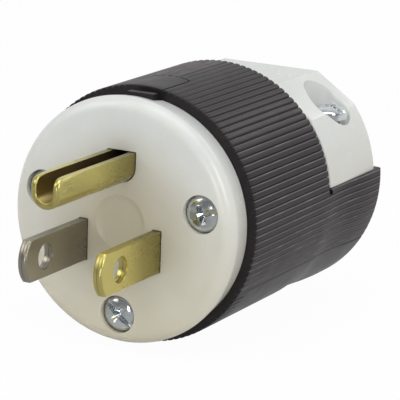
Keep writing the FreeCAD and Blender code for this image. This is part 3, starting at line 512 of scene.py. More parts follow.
def moulded(name, tone, rough=0.33, ribs=0):
    """Satin moulded plastic with a fine grain, paler where it is rubbed, and with painted highlight lines on
    its ribs' upper edges.
    """
    made, graph = new_graph(name)
    spot = graph.place()
    cloud = graph.noise(spot, 260, 4, 0.6)
    fine = graph.noise(spot, 5200, 3, 0.6)
    rubbed = graph.range(graph.noise(graph.place((1, 0.12, 1)), 1900, 3, 0.6), 0.5, 0.8)
    base = graph.blend(graph.range(cloud, 0.3, 0.7), shade(tone, 0.85), shade(tone, 1.15))
    base = graph.blend(rubbed * 0.3, base, shade(tone, 3))
    # Painted highlight: thin pale lines along the upper edge of each rib, for light caught by their rounded
    # shoulders, left off the front face, the underside and the smooth patch; rubbed wear varies their
    # strength
    if ribs:
        x, y, z = graph.axes(spot)
        aside = graph.node("ShaderNodeMath", {"operation": "ABSOLUTE"}, {0: x})
        turn = z.combined("ARCTAN2", z, aside) * (ribs / FULL_TURN)
        part = graph.node("ShaderNodeMath", {"operation": "FRACT"}, {0: turn})
        edge = graph.range(part, 0.26, 0.32) * graph.range(part, 0.46, 0.41)
        edge = edge * graph.range(y, 6.2 * MM, 6.3 * MM)
        outside = graph.range(x * x + z * z, (18.8 * MM) ** 2, (19.0 * MM) ** 2)
        plain = graph.range(aside, PATCH_HALF + 0.3 * MM, PATCH_HALF)
        plain = plain * graph.range(y, PATCH_END + 0.1 * MM, PATCH_END - 0.2 * MM)
        edge = edge * outside * graph.range(z, -10.4 * MM, -9.6 * MM) * (1 - plain)
        base = graph.blend(edge * (0.35 + rubbed * 0.65), base, shade(tone, 14))
    graph.surface({
        "Base Color": base,
        "Roughness": rough + graph.range(cloud, 0.3, 0.7) * 0.08 + rubbed * 0.06,
        "Normal": graph.bump(fine + cloud * 0.5, 0.22, 0.00003),
        "Specular IOR Level": 0.22,
        "IOR": 1.52,
    })
    return made


def metal(name, tone, dull, rough, stretch=(9, 1, 9), stain=0.4, relief=0.05, painted_light=0.0, hollow=None):
    """Metal with fine drawn lines, darker where dull; painted shade near the face, a painted highlight
    towards the tip and brown painted shade in a pin's hollow.
    """
    made, graph = new_graph(name)
    spot = graph.place()
    lines = graph.noise(graph.place(stretch), 900, 3, 0.55)
    cloud = graph.range(graph.noise(graph.place((1, 0.35, 1)), 240, 2, 0.5), 0.35, 0.75)
    speck = graph.range(graph.noise(spot, 2100, 2, 0.55), 0.6, 0.75)
    base = graph.blend(graph.range(lines, 0.3, 0.7) * 0.4, tone, shade(tone, 0.82))
    base = graph.blend(cloud * stain, base, dull)
    base = graph.blend(speck * 0.06, base, shade(dull, 0.6))
    soft = cloud * 0.12 + graph.range(lines, 0.3, 0.7) * 0.08
    across, forward, upward = graph.axes(spot)
    if painted_light:
        # Painted shade: darker towards the face, fading out 10 mm in front of it, and full on parts behind
        # the face
        base = graph.blend(graph.range(forward, -10 * MM, -1 * MM) * 0.65, base, shade(dull, 0.8))
        # Painted highlight: paler towards the tip, from 5 mm in front of the face to full at 12 mm and beyond
        tip = graph.range(forward, -5 * MM, -12 * MM) * painted_light
        base = graph.blend(tip, base, shade(tone, 1.6))
        soft = soft + tip * 0.12
    if hollow:
        # Painted shade in the pin's hollow: brown inside the channel, weaker towards the tip
        half, rise = hollow
        inside = graph.range(across * across, half ** 2, 0.9 * half ** 2)
        inside = inside * graph.range(upward, rise, rise * 1.02)
        inside = inside * (0.3 + graph.range(forward, -20.5 * MM, -16.5 * MM) * 0.5)
        painted_hollow_shade = (0.24, 0.145, 0.08, 1.0)
        base = graph.blend(inside, base, painted_hollow_shade)
        soft = soft + inside * 0.2
    graph.surface({
        "Base Color": base,
        "Metallic": 1.0,
        "Roughness": rough + soft,
        "Normal": graph.bump(lines + speck * 0.1, relief, 0.00002),
    })
    return made


def finishes():
    """The materials, made once."""
    tones = bpy.context.scene.plug_finish
    if "white nylon" not in bpy.data.materials:
        nylon("white nylon", tones.nylon, tones.painted_shade_nylon)
        moulded("black plastic", tones.housing, ribs=bpy.context.scene.plug_barrel.ribs)
        moulded("barrier plastic", tones.barrier, 0.5)
        metal("drawn brass", tones.brass, shade(tones.brass, 0.5), 0.18, painted_light=0.55)
        metal("pin brass", tones.brass, shade(tones.brass, 0.5), 0.18, painted_light=0.4,
              hollow=(1.45 * MM, 6.95 * MM))
        metal("nickel plate", tones.nickel, shade(tones.nickel, 0.6), 0.24, relief=0.04, painted_light=0.4)
        metal("bright zinc", tones.zinc, shade(tones.zinc, 0.35), 0.1, (1, 1, 1), 0.5)
        metal("green zinc", tones.green, shade(tones.green, 0.6), 0.3, (1, 1, 1), 0.35)
    return bpy.data.materials


# The pieces and the stage

def placed(name, data):
    made = bpy.data.objects.new(name, data)
    bpy.context.scene.collection.objects.link(made)
    return made


def blade_side(side):
    return side * bpy.context.scene.plug_contact.spacing / 2


def screw_spots():
    """Assembly screws in the face: name, x and z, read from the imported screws."""
    spots = {}
    for name in ("left", "right", "lower"):
        low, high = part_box(name + "_assembly_screw")
        spots[name] = ((low.x + high.x) / 2, (low.z + high.z) / 2)
    return spots


class Step(Operator):
    """A step that builds or dresses pieces"""
    def execute(self, context):
        self.build(context.scene)
        return {"FINISHED"}


class PLUG_OT_front_cap(Step):
    """Adds the white cap with its slots, screw recesses and the round hollow of its face"""
    bl_idname = "plug.front_cap"
    bl_label = "Front cap"

    def build(self, scene):
        cap = scene.plug_cap
        parts = scene.plug_contact
        flat = cap.nose_radius - cap.rim_round
        dish = [(cap.dimple_radius - inward * MM, cap.dimple_depth * deep)
                for inward, deep in ((1.5, 1), (1.0, 0.94), (0.55, 0.6), (0.2, 0.14), (0, 0))]
        rim = quarter(flat, cap.rim_round, cap.rim_round, -cap.rim_round, 10)[::-1]
        form = lathe([(0.4 * MM, cap.dimple_depth)] + dish + [(flat - 0.3 * MM, 0.0)] + rim + [
            (cap.foot_radius + 0.25 * MM, cap.height - 1.6 * MM),
            (cap.foot_radius, cap.height - 0.02 * MM),
            (cap.spigot_radius, cap.height),
            (cap.spigot_radius, cap.spigot_end),
            (cap.spigot_radius - cap.spigot_wall, cap.spigot_end),
            (cap.spigot_radius - cap.spigot_wall, cap.face_wall),
            (0.4 * MM, cap.face_wall),
        ], 192)
        root = 0.5 * cap.face_wall
        for x, z in screw_spots().values():
            limit = rod((0, root, 0), BACK, cap.spigot_radius - 0.2 * MM, cap.spigot_end - root, segments=96)
            post = rod((x, root, z), BACK, 3.7 * MM, cap.spigot_end)
            combine(form, combine(post, limit, "INTERSECT"), "UNION")
        clear = cap.slot_clear
        deep = cap.face_wall + 1 * MM
        for side in (-1, 1):
            middle = blade_side(side)
            half = parts.thick / 2 + clear
            slot = block((middle - half, -1 * MM, -parts.drop - parts.width / 2 - clear),
                         (middle + half, deep, -parts.drop + parts.width / 2 + clear))
            nib, apart = 0.5 * MM, 1.65 * MM
            for offset in (-apart, apart):
                start = (middle + parts.thick / 2 + nib + 0.04 * MM, -2 * MM, offset - parts.drop)
                combine(slot, rod(start, BACK, nib, deep + 3 * MM, segments=24))
            combine(form, slot)
        rise = parts.pin_belly + parts.pin_width / 2
        combine(form, self.rounded_slot(parts, parts.pin_width / 2 + cap.pin_clear, rise, deep))
        for x, z in screw_spots().values():
            combine(form, rod((x, -1 * MM, z), BACK, cap.recess_radius, cap.recess_depth + 1 * MM))
            combine(form, rod((x, 0, z), BACK, SCREW_HOLE, cap.spigot_end + 1 * MM, segments=32))
        left, right, foot = TAB_SIDES[0] - TAB_CLEAR, TAB_SIDES[1] + TAB_CLEAR, TAB_FOOT - 0.09 * MM
        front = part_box("housing")[0].y - TAB_CLEAR
        combine(form, block((left, front, foot), (right, cap.height + 0.2 * MM, 21 * MM)))
        soften(form, lambda a, b: abs(a.y) < NEAR and abs(b.y) < NEAR and a.xz.length < flat - 0.5 * MM,
               cap.edge_round, 3)
        tidy(form)
        dress(form, "cap_face", "white nylon", "front_cap")

    def rounded_slot(self, parts, half, rise, deep):
        """Slot with a round bottom, through the face at the grounding pin."""
        front = -1 * MM
        slot = block((-half, front, rise), (half, deep, parts.pin_top + 0.1 * MM))
        return combine(slot, rod((0, front, rise), BACK, half, deep - front, segments=48), "UNION")


class PLUG_OT_barrel(Step):
    """Adds the black ribbed barrel with its tail and key tab"""
    bl_idname = "plug.barrel"
    bl_label = "Ribbed barrel"

    def build(self, scene):
        size = scene.plug_barrel
        cap = scene.plug_cap
        clamp = scene.plug_clamp
        form = lathe(self.rings(size, cap, clamp), size.ribs * RIB_COLUMNS, ring=True)
        self.press_grooves(form, size)
        reach = 2 * size.flare_radius
        combine(form, block((-reach, size.end, size.split), (reach, size.tail_end + 1 * MM, reach)))
        tidy(form, 50)
        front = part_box("housing")[0].y
        left, right = TAB_SIDES
        neck = block((left, front + 0.3 * MM, TAB_FOOT), (right, cap.height + 1.2 * MM, TAB_FOOT + 0.5 * MM))
        tab = block((left, front, TAB_FOOT), (right, front + 1.3 * MM, 19.35 * MM))
        combine(form, combine(tab, neck, "UNION"), "UNION")
        for side in (-1, 1):
            spots = sorted((side * (size.waist_radius - 0.9 * MM), side * (size.flare_radius + 1 * MM)))
            combine(form, block((spots[0], size.end, size.split - 0.9 * MM),
                                (spots[1], clamp.front, size.split + 1 * MM)))
        for place, axis in self.bosses(form, size, clamp):
            combine(form, rod(place, axis, INSERT_SEAT, INSERT_DEPTH, segments=48))
        tidy(form, 50)
        combine(form, self.arc_line())
        tidy(form, 50)
        dress(form, "ribbed_barrel", "black plastic", "housing")

    def rings(self, size, cap, clamp):
        """Rings of the shell: back along its outside, then forward along its inside."""
        outer = [
            (size.radius - 0.16 * MM, cap.height),
            (size.radius - 0.03 * MM, cap.height + 0.1 * MM),
            (size.radius, cap.height + 0.25 * MM),
        ]
        bands = (7.4, 8.4, 8.9, 10.5, 12.5, 14.2, 14.6, 14.9, 15.25, 17.0, 20.0, 23.5, 27.0)
        outer += [(size.radius, y * MM) for y in bands]
        outer += [
            (size.radius, size.end),
            (size.radius - 0.10 * MM, size.end + 1.6 * MM),
            (size.waist_radius + 0.02 * MM, size.end + 3.4 * MM),
        ]
        outer += [(size.waist_radius + out * MM, size.waist_place + along * MM)
                  for out, along in ((0, 0), (0.07, 2.4), (0.24, 4.9), (0.42, 7.3))]
        outer.append((size.flare_radius, size.flare_place))
        rounding = quarter(size.flare_radius - size.tail_round, size.tail_end - size.tail_round,
                           size.tail_round, size.tail_round, 9)
        room = size.waist_radius - size.wall
        jaw = clamp.screw_place - JAW_AHEAD
        inner = [
            (size.cord_radius + 0.3 * MM, size.tail_end),
            (size.cord_radius, size.tail_end - 0.3 * MM),
            (size.cord_radius, jaw),
            (room, jaw),
            (room, size.end + size.wall),
            (size.wire_radius, size.end + size.wall),
            (size.wire_radius, size.end - size.wall),
            (size.bore, size.end - size.wall),
            (size.bore, cap.height),
        ]
        return outer + rounding + inner

    def press_grooves(self, form, size):
        """Presses in the grooves between the ribs and rounds the ribs' edges."""
        fade = size.tail_end - 0.6 * size.tail_round

        def column(spot):
            turn = math.atan2(spot.z, spot.x) / FULL_TURN * size.ribs * RIB_COLUMNS
            return int(round(turn)) % RIB_COLUMNS

        def ribbed(spot):
            if spot.xz.length < size.bore + 0.5 * MM or spot.y > fade:
                return False
            if math.asin(max(-1, min(1, -spot.z / spot.xz.length))) > BELLY_ANGLE and spot.y > BELLY_START:
                return False
            aside = min(abs(spot.x), PATCH_HALF)
            end = PATCH_END - PATCH_BOW + math.sqrt(PATCH_BOW ** 2 - aside ** 2)
            return spot.z <= 0 or aside >= PATCH_HALF or spot.y >= end

        for away, deep in enumerate((size.rib_depth, size.shoulder, 0.2 * size.shoulder)):
            pick(form, "VERT", lambda v: ribbed(v) and abs(column(v) - RIB_COLUMNS // 2) == away)
            factor = 1 - deep / size.radius
            bpy.ops.transform.resize(value=(factor, 1, factor), center_override=(0, 0, 0))
        leave_edit()

    def bosses(self, form, size, clamp):
        """Adds the screw bosses, and returns the start and axis of each insert's seat."""
        seats = []
        start = 13.5 * MM
        half_wall = size.wall / 2
        for x, z in screw_spots().values():
            combine(form, rod((x, start, z), BACK, BOSS, size.end - half_wall - start, segments=48), "UNION")
            seats.append(((x, start - 1 * MM, z), BACK))
        for side in (-1, 1):
            x = side * clamp.screw_out
            boss = rod((x, clamp.screw_place, -size.waist_radius), UP, BOSS, size.waist_radius + size.split,
                       segments=48)
            limit = rod((0, size.end, 0), BACK, size.waist_radius - half_wall,
                        size.tail_end - half_wall - size.end, segments=96)
            combine(form, combine(boss, limit, "INTERSECT"), "UNION")
            seats.append(((x, clamp.screw_place, size.split + 1 * MM - INSERT_DEPTH), UP))
        return seats

    def arc_line(self):
        """Fine groove along the rear edge of the smooth patch behind the tab."""
        front = PATCH_END - 0.3 * MM
        centre = Vector((0, front - PATCH_BOW, 0))
        half = math.asin((PATCH_HALF + 0.15 * MM) / PATCH_BOW)
        strip = block((-0.01 * MM, front, 19.5 * MM), (0.01 * MM, front + 0.32 * MM, 20.4 * MM))
        pick(strip, "FACE", lambda c, n: n.x < 0.5)
        bpy.ops.mesh.delete(type="FACE")
        select_all()
        bpy.ops.transform.rotate(value=-half, orient_axis="Z", center_override=centre)
        bpy.ops.mesh.spin(steps=14, angle=2 * half, center=centre, axis=UP)
        return tidy(strip)


class PLUG_OT_cord_clamp(Step):
    """Adds the white cord clamp with its screw pockets and the arch over the cord"""
    bl_idname = "plug.cord_clamp"
    bl_label = "Cord clamp"

    def build(self, scene):
        size = scene.plug_clamp
        barrel = scene.plug_barrel
        form = circle(size.radius, (0, size.front, 0), FACING, 288)
        turn = math.radians(38)
        ear = Vector((size.radius * math.cos(turn), size.radius * math.sin(turn)))
        slant = Vector((size.flat_half, size.flat_rise)) - ear
        outward = Vector((slant.y, -slant.x)).normalized()
        planes = [((0, 0, barrel.split), -UP), ((0, 0, size.flat_rise), UP)]
        planes += [((side * ear.x, 0, ear.y), (side * outward.x, 0, outward.y)) for side in (-1, 1)]
        trim(planes)
        thicken(form, (0, size.rear - size.front, 0))

        def runs_along(a, b, x, z):
            return abs(abs(a.x) - x) < 0.05 * MM and abs(a.z - z) < 0.05 * MM and abs(a.y - b.y) > 1 * MM

        for x, z, fold, segments in ((size.flat_half, size.flat_rise, size.fold_round, 8),
                                     (ear.x, ear.y, size.ear_round, 10)):
            soften(form, lambda a, b: runs_along(a, b, x, z), fold, segments, math.radians(5))
        lip = barrel.split + 0.01 * MM
        soften(form, lambda a, b: min(a.y, b.y) > size.rear - WELD and max(a.z, b.z) > lip,
               size.rear_round, 6)
        soften(form, lambda a, b: max(a.y, b.y) < size.front + WELD and max(a.z, b.z) > lip, 0.3 * MM, 3)
        reach = size.rear - size.front + 2 * MM
        jaw = size.screw_place - JAW_AHEAD
        combine(form, rod((0, size.front - 1 * MM, 0), BACK, barrel.wire_radius, reach, segments=128))
        combine(form, rod((0, jaw, 0), BACK, barrel.cord_radius, reach, segments=128))
        start = size.front + barrel.wall
        room = rod((0, start, 0), BACK, 14.2 * MM, jaw - start, segments=96)
        for side in (-1, 1):
            combine(room, rod((side * size.screw_out, size.screw_place, 0), UP, size.pocket_radius + 1.3 * MM,
                              size.flat_rise))
        combine(form, room)
        for side in (-1, 1):
            x = side * size.screw_out
            rise = size.flat_rise - size.seat_rise + 1 * MM
            mouth = size.pocket_mouth + (size.pocket_mouth - size.pocket_radius) / (rise - 1 * MM) * MM
            head_room = rod((x, size.screw_place, size.seat_rise), UP, size.pocket_radius, rise, mouth, 96)
            hole = rod((x, size.screw_place, 0.1 * MM), UP, SCREW_HOLE, size.seat_rise + 1 * MM, segments=32)
            combine(form, combine(head_room, hole, "UNION"))
            combine(form, self.flare(size, side, Vector((side * outward.x, 0, outward.y))))
        soften(form, lambda a, b: abs(a.z - barrel.split) < WELD and abs(b.z - barrel.split) < WELD
               and min(abs(a.x), abs(b.x)) > size.radius - 0.5 * MM, 0.1 * MM, 2)
        tidy(form, 30)
        dress(form, "clamp_cover", "white nylon", "cord_clamp")

    def flare(self, size, side, normal):
        """Tool that rounds the rim of a head pocket, square to the slant."""
        wall, soft = size.pocket_mouth - 0.3 * MM, 0.9 * MM
        turns = [math.pi / 16 * i for i in range(9)]
        tool = lathe([(wall - 0.8 * MM, -soft - 1 * MM), (wall - 0.05 * MM, -soft - 0.4 * MM)] + [
            (wall + soft * (1 - math.cos(a)), soft * (math.sin(a) - 1)) for a in turns
        ] + [(wall + soft + 0.4 * MM, 0.3 * MM)], 128, UP)
        tool.rotation_euler = UP.rotation_difference(normal).to_euler()
        rise = size.flat_rise - (size.screw_out - size.flat_half) * abs(normal.x) / normal.z
        down = Vector((side * normal.z, 0, -abs(normal.x)))
        tool.location = Vector((side * size.screw_out, size.screw_place, rise)) + 0.6 * MM * down
        return settle(tool)


class PLUG_OT_blades(Step):
    """Adds the two folded flat blades with their holes and terminal ends"""
    bl_idname = "plug.blades"
    bl_label = "Flat blades"

    def build(self, scene):
        for side, name, finish, node, slot in (
                (-1, "nickel_blade", "nickel plate", "neutral_blade", "nickel"),
                (1, "brass_blade", "drawn brass", "line_blade", "brass")):
            layers = [self.layer(scene.plug_contact, side, fold) for fold in (-1, 1)]
            none_selected()
            for layer in layers:
                layer.select_set(True)
            bpy.context.view_layer.objects.active = layers[0]
            bpy.ops.object.join()
            blade = tidy(layers[0], 30)
            dress(blade, name, finish, node)

    def layer(self, size, side, fold):
        """One of the two layers of a blade, with its terminal end."""
        gap = 0.03 * MM
        inside, outside = sorted((fold * gap, fold * size.thick / 2))
        middle = blade_side(side)
        bottom = -size.drop - size.width / 2
        top = -size.drop + size.width / 2
        start = size.tip_radius - size.reach - math.sqrt(size.tip_radius ** 2 - (size.width / 2) ** 2)
        form = circle(size.tip_radius, (middle + inside, size.tip_radius - size.reach, -size.drop),
                      (0, math.pi / 2, 0), 128)
        trim((((0, 0, top), UP), ((0, 0, bottom), -UP), ((0, start, 0), BACK)), WELD)
        pick(form, "EDGE", lambda a, b: min(a.y, b.y) > start - WELD and abs(a.z - b.z) > 1 * MM)
        draw_edges((0, TERMINAL_START - start, 0))
        select_all()
        bpy.ops.mesh.dissolve_limited(angle_limit=0.01)
        thicken(form, (outside - inside, 0, 0))
        pick(form, "FACE", lambda c, n: n.y > 0.9)
        centre = (middle, 0, -size.drop)
        for tall, far in ((10.0 * MM, TERMINAL_STEP), (7.6 * MM, TERMINAL_END)):
            draw_faces((0, 0, 0))
            now_tall, now_far = self.height(form)
            bpy.ops.object.mode_set(mode="EDIT")
            bpy.ops.transform.resize(value=(1, 1, tall / now_tall), center_override=centre)
            draw_faces((0, far - now_far, 0))
        leave_edit()
        soften(form, lambda a, b: max(a.y, b.y) < start + WELD and abs(a.z - b.z) < WELD
               and min(abs(a.z - top), abs(a.z - bottom)) < WELD, 0.5 * MM, 5, math.radians(20))
        for place, hole, segments in ((-size.hole_reach, size.hole_radius, 48),
                                      (TERMINAL_HOLE_PLACE, TERMINAL_HOLE, 32)):
            combine(form, rod((middle - 2 * MM, place, -size.drop), RIGHT, hole, 4 * MM, segments=segments))
        face = middle + fold * size.thick / 2
        near = 0.1 * MM

        def outer_rim(a, b):
            return abs(a.x - face) < near and abs(b.x - face) < near and max(a.y, b.y) < 5 * MM

        def inner_rim(a, b):
            return (abs(a.x - middle) < near and abs(b.x - middle) < near and max(a.y, b.y) < 5 * MM
                    and max(a.z, b.z) > bottom + 1.9 * MM
                    and math.hypot(a.y + size.hole_reach, a.z + size.drop) > size.hole_radius + near)

        past = start + 0.55 * MM
        soften(form, lambda a, b: outer_rim(a, b) and max(a.y, b.y) < past, 0.34 * MM, 3)
        soften(form, lambda a, b: outer_rim(a, b) and min(a.y, b.y) > start + 0.1 * MM, 0.12 * MM, 2)
        soften(form, inner_rim, 0.2 * MM, 2)
        return form

    def height(self, form):
        """Height and place of the rear face that is selected."""
        leave_edit()
        spots = [v.co for v in form.data.vertices if v.select]
        tall = max(s.z for s in spots) - min(s.z for s in spots)
        return tall, spots[0].y


class PLUG_OT_ground_pin(Step):
    """Adds the grounding pin, a strip bent to a channel with its open side up"""
    bl_idname = "plug.ground_pin"
    bl_label = "Grounding pin"

    def build(self, scene):
        size = scene.plug_contact
        middle_radius = size.pin_width / 2 - size.pin_wall / 2
        rise = size.pin_belly + size.pin_width / 2
        form = circle(middle_radius, (0, -size.pin_reach, rise), FACING, 64, "NOTHING")
        pick(form, "VERT", lambda v: v.z > rise + NEAR)
        bpy.ops.mesh.delete(type="VERT")
        pick(form, "VERT", lambda v: abs(v.z - rise) < NEAR)
        bpy.ops.mesh.extrude_vertices_move(TRANSFORM_OT_translate={"value": (0, 0, size.pin_top - rise)})
        select_all("EDGE")
        draw_edges((0, size.pin_reach + 6.1 * MM, 0))
        pick(form, "VERT", lambda v: v.y < -size.pin_reach + WELD and v.z > size.pin_top - WELD)
        bpy.ops.mesh.bevel(offset=size.pin_corner, segments=8, profile=0.5, affect="VERTICES")
        leave_edit()
        tidy(form, 60)
        thick = form.modifiers.new("wall", "SOLIDIFY")
        thick.thickness = size.pin_wall
        thick.offset = 0
        thick.use_even_offset = True
        bpy.ops.object.modifier_apply(modifier=thick.name)
        tidy(form, 30)
        outside = size.pin_width / 2

        def at_tip(a, b):
            """Whether an edge is on the outer rim of the tip."""
            limit = size.pin_corner - size.pin_reach + WELD
            return all(v.y <= limit and math.hypot(v.x, min(0, v.z - rise)) >= outside - 0.05 * MM
                       for v in (a, b))

        soften(form, at_tip, size.pin_bevel, 3)
        soften(form, lambda a, b: max(a.y, b.y) < 5 * MM and min(abs(a.x), abs(b.x)) < outside - 0.3 * MM,
               0.16 * MM, 3)
        low, high = 10.17 * MM, 11.37 * MM
        plate, wide = [block((-half, TERMINAL_START, low), (half, end, high))
                       for half, end in ((3.8 * MM, TERMINAL_END), (5 * MM, TERMINAL_STEP))]
        combine(plate, wide, "UNION")
        combine(plate, rod((0, TERMINAL_HOLE_PLACE, 9 * MM), UP, TERMINAL_HOLE, 4 * MM, segments=32))
        combine(form, plate, "UNION")
        tidy(form, 30)
        dress(form, "channel_pin", "pin brass", "ground_pin")


def screw(head_radius, head_height, reach, turn):
    """Screw along Z with its seat at the origin: domed head, cross recess and straight slot."""
    dome = [(head_radius * math.cos(a), head_height * (0.5 + 0.5 * math.sin(a)))
            for a in [math.radians(g) for g in (12, 26, 40, 53, 65, 76)]]
    form = lathe([
        (SHANK - 0.4 * MM, -reach),
        (SHANK, 0.4 * MM - reach),
        (SHANK, 0.0),
        (head_radius * 0.93, 0.0),
        (head_radius, 0.12 * MM),
        (head_radius, head_height * 0.45),
    ] + dome + [(0.1 * MM, head_height)], 72, UP)
    slot = 0.42 * MM
    combine(form, block((-head_radius - 1 * MM, -slot, head_height - 0.85 * MM),
                        (head_radius + 1 * MM, slot, head_height + 1 * MM)))
    arm = 0.46 * MM
    cross = rod((0, 0, head_height - 1.7 * MM), UP, 0.55 * MM, 1.8 * MM, 1.75 * MM, 32)
    bars = block((-3 * MM, -arm, head_height - 2 * MM), (3 * MM, arm, head_height + 1 * MM))
    combine(bars, block((-arm, -3 * MM, head_height - 2 * MM), (arm, 3 * MM, head_height + 1 * MM)), "UNION")
    combine(form, combine(cross, bars, "INTERSECT"))
    soften(form, lambda a, b: min(a.z, b.z) > 0.2 * MM and max(a.xy.length, b.xy.length) < head_radius + WELD,
           0.07 * MM, 2, math.radians(35))
    tidy(form, 30)
    form.rotation_euler = (0, 0, turn)
    return settle(form)


class PLUG_OT_face_screws(Step):
    """Adds the three assembly screws in the face"""
    bl_idname = "plug.face_screws"
    bl_label = "Face screws"

    def build(self, scene):
        turns = {"left": math.radians(58), "right": math.radians(20), "lower": math.radians(-38)}
        for name, (x, z) in screw_spots().items():
            form = screw(2.8 * MM, 2.0 * MM, 19.45 * MM, turns[name])
            form.rotation_euler = FACING
            form.location = (x, scene.plug_cap.recess_depth, z)
            settle(form)
            node = name + "_assembly_screw"
            dress(form, name + "_face_screw", "bright zinc", node)


class PLUG_OT_clamp_screws(Step):
    """Adds the two screws of the cord clamp"""
    bl_idname = "plug.clamp_screws"
    bl_label = "Clamp screws"

    def build(self, scene):
        size = scene.plug_clamp
        for side, name, turn in ((-1, "left", 0.6), (1, "right", -0.35)):
            form = screw(3.0 * MM, 2.1 * MM, 16.8 * MM, turn)
            form.location = (side * size.screw_out, size.screw_place, size.seat_rise)
            settle(form)
            dress(form, name + "_cover_screw", "bright zinc", name + "_clamp_screw")


class PLUG_OT_inner_parts(Step):
    """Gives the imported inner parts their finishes"""
    bl_idname = "plug.inner_parts"
    bl_label = "Inner parts"

    def build(self, scene):
        given = {
            "barrier plastic": ("terminal_barrier",),
            "bright zinc": ("neutral_terminal_screw", "neutral_pressure_plate"),
            "green zinc": ("ground_terminal_screw",),
            "drawn brass": ("line_terminal_screw", "line_pressure_plate", "ground_pressure_plate",
                            "left_body_insert", "right_body_insert", "lower_body_insert",
                            "left_clamp_insert", "right_clamp_insert"),
        }
        for finish, nodes in given.items():
            for node in nodes:
                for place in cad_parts[node].material_slots:
                    place.material = finishes()[finish]


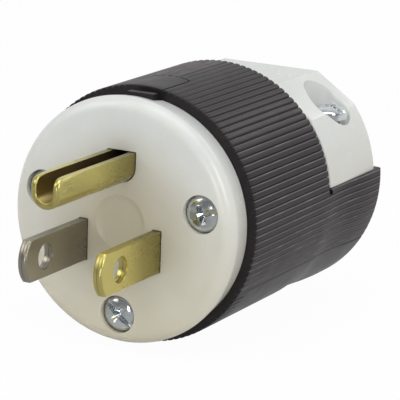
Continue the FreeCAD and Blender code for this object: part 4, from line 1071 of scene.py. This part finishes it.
class PLUG_OT_stage(Step):
    """Adds the floor, the lamps, the world and the camera at the photograph's viewing angle"""
    bl_idname = "plug.stage"
    bl_label = "Stage"

    def build(self, scene):
        stage = scene.plug_stage
        none_selected()
        bpy.ops.mesh.primitive_plane_add(size=6, location=(0, 0, CAD_LOW.z - 0.05 * MM))
        floor = named(settle(bpy.context.object), "floor")
        floor.data.materials.append(self.floor_finish(stage))
        self.world(scene, stage)
        for name, place, wide, tall, power in (
                ("key", (0.05, -0.12, 0.55), 0.5, 0.4, stage.key_power),
                ("side", (0.42, -0.20, 0.20), 0.12, 0.3, stage.side_power),
                ("fill", (-0.40, -0.30, 0.30), 0.3, 0.3, stage.side_power),
                ("back", (0.16, 0.47, 0.26), 0.25, 0.05, stage.side_power * 0.25),
                ("front", (0.09, -0.55, 0.02), 0.06, 0.2, stage.side_power * 0.6)):
            self.lamp(name, Vector(place), wide, tall, power)
        self.camera(scene)

    def floor_finish(self, stage):
        """Pale floor that the camera sees as white, with the object's shadow; glossy rays see a painted
        reflection in its place, a glow dimmer in front of the plug than behind it.
        """
        made, graph = new_graph("pale floor")
        seen, mirrored, passed = graph.rays("Is Camera Ray", "Is Glossy Ray", "Is Transmission Ray")
        plain = graph.node("ShaderNodeBsdfDiffuse", {}, {"Color": tuple(stage.floor)})
        white = graph.mixed(seen * 0.97 + passed * 0.97, plain, graph.glow(1.0))
        # Painted reflection: glow levels that glossy rays see, 0.4 in front of the plug and the backdrop
        # level behind it
        near, far = 0.4, stage.backdrop_level
        behind = graph.range(graph.axes(graph.place())[1], -20 * MM, 60 * MM)
        painted_reflection_glow = graph.glow(behind * (far - near) + near)
        surface = graph.mixed(mirrored, white, painted_reflection_glow)
        graph.node("ShaderNodeOutputMaterial", {"target": "ALL"}, {"Surface": surface})
        return made

    def world(self, scene, stage):
        """Even pale surroundings, which glossy pieces see pale behind the plug and dark before it."""
        world = bpy.data.worlds.new("studio")
        world.use_nodes = True
        scene.world = world
        graph = Graph(world.node_tree)
        seen, mirrored = graph.rays("Is Camera Ray", "Is Glossy Ray")
        light = stage.world_level + seen * (1 - stage.world_level)
        ahead = graph.node("ShaderNodeTexCoord", out="Generated")
        behind = graph.range(graph.axes(ahead)[1], -0.1, 0.6)
        mirror = behind * (stage.backdrop_level - stage.mirror_level) + stage.mirror_level
        light = light - mirrored * (stage.world_level - mirror)
        graph.node("ShaderNodeOutputWorld", {"target": "ALL"},
                   {"Surface": graph.glow(light, "ShaderNodeBackground")})

    def lamp(self, name, place, wide, tall, power):
        """Flat lamp that points at the middle of the plug."""
        data = bpy.data.lights.new(name, "AREA")
        data.shape = "RECTANGLE"
        data.size, data.size_y, data.energy = wide, tall, power
        lamp = placed(name, data)
        lamp.location = place
        lamp.rotation_euler = (place - 12 * MM * BACK).to_track_quat("Z", "Y").to_euler()

    def camera(self, scene):
        """Camera that was fitted to the photograph."""
        azimuth, elevation, roll = math.radians(28.13), math.radians(14.06), math.radians(2.01)
        shift = Vector((-12.0, 3.33, 358.85)) * MM
        back = Vector((math.sin(azimuth) * math.cos(elevation), -math.cos(azimuth) * math.cos(elevation),
                       math.sin(elevation)))
        right = Vector((math.cos(azimuth), math.sin(azimuth), 0))
        up = back.cross(right)
        turned_right = math.cos(roll) * right + math.sin(roll) * up
        turned_up = math.cos(roll) * up - math.sin(roll) * right
        data = bpy.data.cameras.new("view")
        data.sensor_width, data.lens, data.clip_start = 36, 216, 0.01
        camera = placed("view", data)
        turn = Matrix((turned_right, turned_up, back)).transposed()
        place = -shift.x * turned_right + shift.y * turned_up + shift.z * back
        camera.matrix_world = Matrix.Translation(place) @ turn.to_4x4()
        scene.camera = camera


class PLUG_PT_panel(Panel):
    """Lists the steps that build the plug and their sizes"""
    bl_idname = "PLUG_PT_panel"
    bl_label = "Grounded cord plug"
    bl_space_type = "VIEW_3D"
    bl_region_type = "UI"
    bl_category = "Plug"

    def draw(self, context):
        for step in STEPS:
            self.layout.operator(step.bl_idname)
        for kind, holder in SETTINGS.items():
            group = getattr(context.scene, kind)
            box = self.layout.box()
            for name in holder.__annotations__:
                box.prop(group, name)


STEPS = (PLUG_OT_front_cap, PLUG_OT_barrel, PLUG_OT_cord_clamp, PLUG_OT_blades, PLUG_OT_ground_pin,
         PLUG_OT_face_screws, PLUG_OT_clamp_screws, PLUG_OT_inner_parts, PLUG_OT_stage)
SETTINGS = {
    "plug_cap": CapSettings,
    "plug_barrel": BarrelSettings,
    "plug_clamp": ClampSettings,
    "plug_contact": ContactSettings,
    "plug_finish": FinishSettings,
    "plug_stage": StageSettings,
}
CLASSES = tuple(SETTINGS.values()) + STEPS + (PLUG_PT_panel,)


def register():
    for holder in CLASSES:
        bpy.utils.register_class(holder)
    for name, holder in SETTINGS.items():
        setattr(bpy.types.Scene, name, PointerProperty(type=holder))


def unregister():
    for name in SETTINGS:
        delattr(bpy.types.Scene, name)
    for holder in reversed(CLASSES):
        bpy.utils.unregister_class(holder)


def main():
    register()
    bpy.context.scene.view_settings.view_transform = "Standard"
    for step in STEPS:
        getattr(bpy.ops.plug, step.bl_idname.split(".")[1])()


if __name__ == "__main__":
    main()
